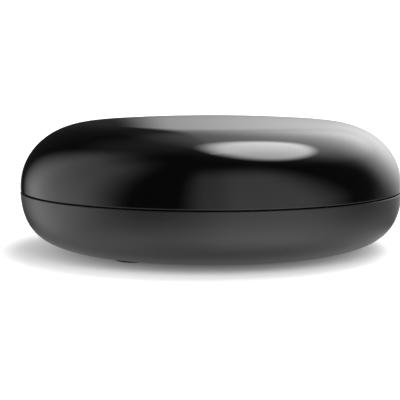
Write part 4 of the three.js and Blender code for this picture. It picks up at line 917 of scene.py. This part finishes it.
# ---- Pairing button ----------------------------------------------------------------------------------------
# A small satin cap with a dished end stands 0.5 mm out of the panel. Its stem pushes the plunger of a switch
# that is soldered to the board.
BUTTON_FRONT_Y = FACE_Y + 0.5
BUTTON_PROFILE = [
    (0, BUTTON_FRONT_Y - 0.16), (0.9, BUTTON_FRONT_Y - 0.13), (1.6, BUTTON_FRONT_Y - 0.03),
    (1.85, BUTTON_FRONT_Y), (2.1, BUTTON_FRONT_Y - 0.08), (2.2, BUTTON_FRONT_Y - 0.3),
    (2.2, PANEL_BACK_Y - 0.3), (3.1, PANEL_BACK_Y - 0.3), (3.2, PANEL_BACK_Y - 0.4),
    (3.2, PANEL_BACK_Y - 1.1), (1.1, PANEL_BACK_Y - 1.1), (1.1, 38.77), (0, 38.77),
]
points, faces = turned(BUTTON_PROFILE, 64)
button = as_object("pairing_button_cap", (points[:, [0, 2, 1]] + np.array([BUTTON_X, 0, BUTTON_Z]), faces))
own(smooth(button, 40), satin_black, "button", "satin_black", "pairing_button")
chip_black = paint("chip_black", (0.022, 0.022, 0.023), 0.5, grain=(3500, 0.01), patch=(70, 0.06, 0.2))
refined("switch_body", chip_black, 0.15)
refined("switch_plunger", connector_black, 0.15)

# ---- Circuit board -----------------------------------------------------------------------------------------
# A round glass-fibre board under green solder mask. Copper tracks and filled areas show through the mask as
# lighter green lines, and small plated holes dot it.
board_green = paint("board_green", (0.012, 0.10, 0.045), 0.3, grain=(1500, 0.006), patch=(40, 0.05, 0.2))
w = Wiring(board_green.node_tree)
place = w.node("ShaderNodeTexCoord").outputs["Object"]
tracks = w.node(
    "ShaderNodeTexBrick",
    {"Vector": place, "Scale": 260.0, "Mortar Size": 0.09, "Mortar Smooth": 0.1, "Brick Width": 1.7},
)
tracks.offset_frequency = 3
fine_tracks = w.node(
    "ShaderNodeTexBrick",
    {"Vector": place, "Scale": 610.0, "Mortar Size": 0.12, "Mortar Smooth": 0.1, "Brick Width": 0.6},
)
holes = w.node("ShaderNodeTexVoronoi", {"Vector": place, "Scale": 330.0, "Randomness": 0.8})
dots = w.ramp(holes.outputs["Distance"], 0.13, 0.17, 1, 0)
copper = w.math("MAXIMUM", tracks.outputs["Fac"], w.product(fine_tracks.outputs["Fac"], 0.6))
shader = board_green.node_tree.nodes["Principled BSDF"]
base = shader.inputs["Base Color"].links[0].from_socket
tracked = w.node(
    "ShaderNodeMix", {"Factor": copper, "A": base, "B": (0.03, 0.19, 0.075, 1)}, data_type="RGBA"
)
dotted = w.node(
    "ShaderNodeMix",
    {"Factor": dots, "A": tracked.outputs["Result"], "B": (0.5, 0.42, 0.2, 1)},
    data_type="RGBA",
)
w.put(dotted.outputs["Result"], shader.inputs["Base Color"])
refined("main_board", board_green, 0.1)

# ---- Processor, memory and shield --------------------------------------------------------------------------
# The hot chips sit under a stamped tin-plated can, with a soft silicone pad between the processor and the can
# and another between the can and the heat sink.
thermal_pad = paint("thermal_pad", (0.30, 0.36, 0.46), 0.75, grain=(1600, 0.02), patch=(80, 0.05, 0.15))
for node in ("processor", "memory_chip_front", "memory_chip_rear", "storage_chip", "ethernet_chip"):
    refined(node, chip_black, 0.06)
for node in ("processor_pad", "sink_pad"):
    refined(node, thermal_pad, 0.12)
refined("shield_can", tin_plate, 0.25)
refined("radio_module", tin_plate, 0.25)

# ---- Heat sink ---------------------------------------------------------------------------------------------
# An aluminium extrusion with eleven fins, held by two barbed nylon pins whose springs press it on to its pad.
aluminium = paint("aluminium", (0.60, 0.61, 0.63), 0.36, 1.0, grain=(1400, 0.006), patch=(60, 0.08, 0.12))
refined("heat_sink", aluminium, 0.15)
for node in ("sink_pin_front", "sink_pin_rear"):
    refined(node, connector_black, 0.12)

# ---- Power parts and crystal -------------------------------------------------------------------------------
# Pressed ferrite coils and aluminium can capacitors smooth the supply, and a small lidded can holds the
# crystal.
ferrite = paint("ferrite", (0.055, 0.055, 0.057), 0.65, grain=(1200, 0.03), patch=(110, 0.06, 0.25))
for node in ("power_coil_front", "power_coil_rear"):
    refined(node, ferrite, 0.25)
for node in ("capacitor_front", "capacitor_middle", "capacitor_rear"):
    refined(node, aluminium, 0.12)
crystal_can = paint("crystal_can", (0.66, 0.66, 0.66), 0.28, 1.0, grain=(1500, 0.003), patch=(150, 0.05, 0.1))
refined("crystal", crystal_can, 0.08)

# ---- Infrared receiver, status light and light pipe --------------------------------------------------------
# At the front edge a dark infrared receiver looks out through the case, and a clear bent pipe carries the
# status light to the inside of the upper shell.
refined("infrared_receiver", chip_black, 0.15)
led_phosphor = paint("led_phosphor", (0.75, 0.66, 0.34), 0.4, grain=(1500, 0.01), patch=(300, 0.05, 0.2))
refined("status_led", led_phosphor, 0.1)
refined("light_pipe", clear_plastic, 0.2)

# ---- Antennas ----------------------------------------------------------------------------------------------
# Copper film antennas are stuck inside the upper shell, one on each side. A thin black coaxial lead runs from
# each to a gold-plated plug on the radio module.
copper_film = paint("copper_film", (0.60, 0.30, 0.16), 0.35, 1.0, grain=(900, 0.004), patch=(120, 0.08, 0.2))
cable_jacket = paint("cable_jacket", (0.014, 0.014, 0.014), 0.5, grain=(2000, 0.006), patch=(80, 0.05, 0.2))
for side in ("left", "right"):
    refined(f"antenna_{side}", copper_film)
    refined(f"antenna_plug_{side}", gold_plate, 0.1)
    refined(f"antenna_lead_{side}", cable_jacket)
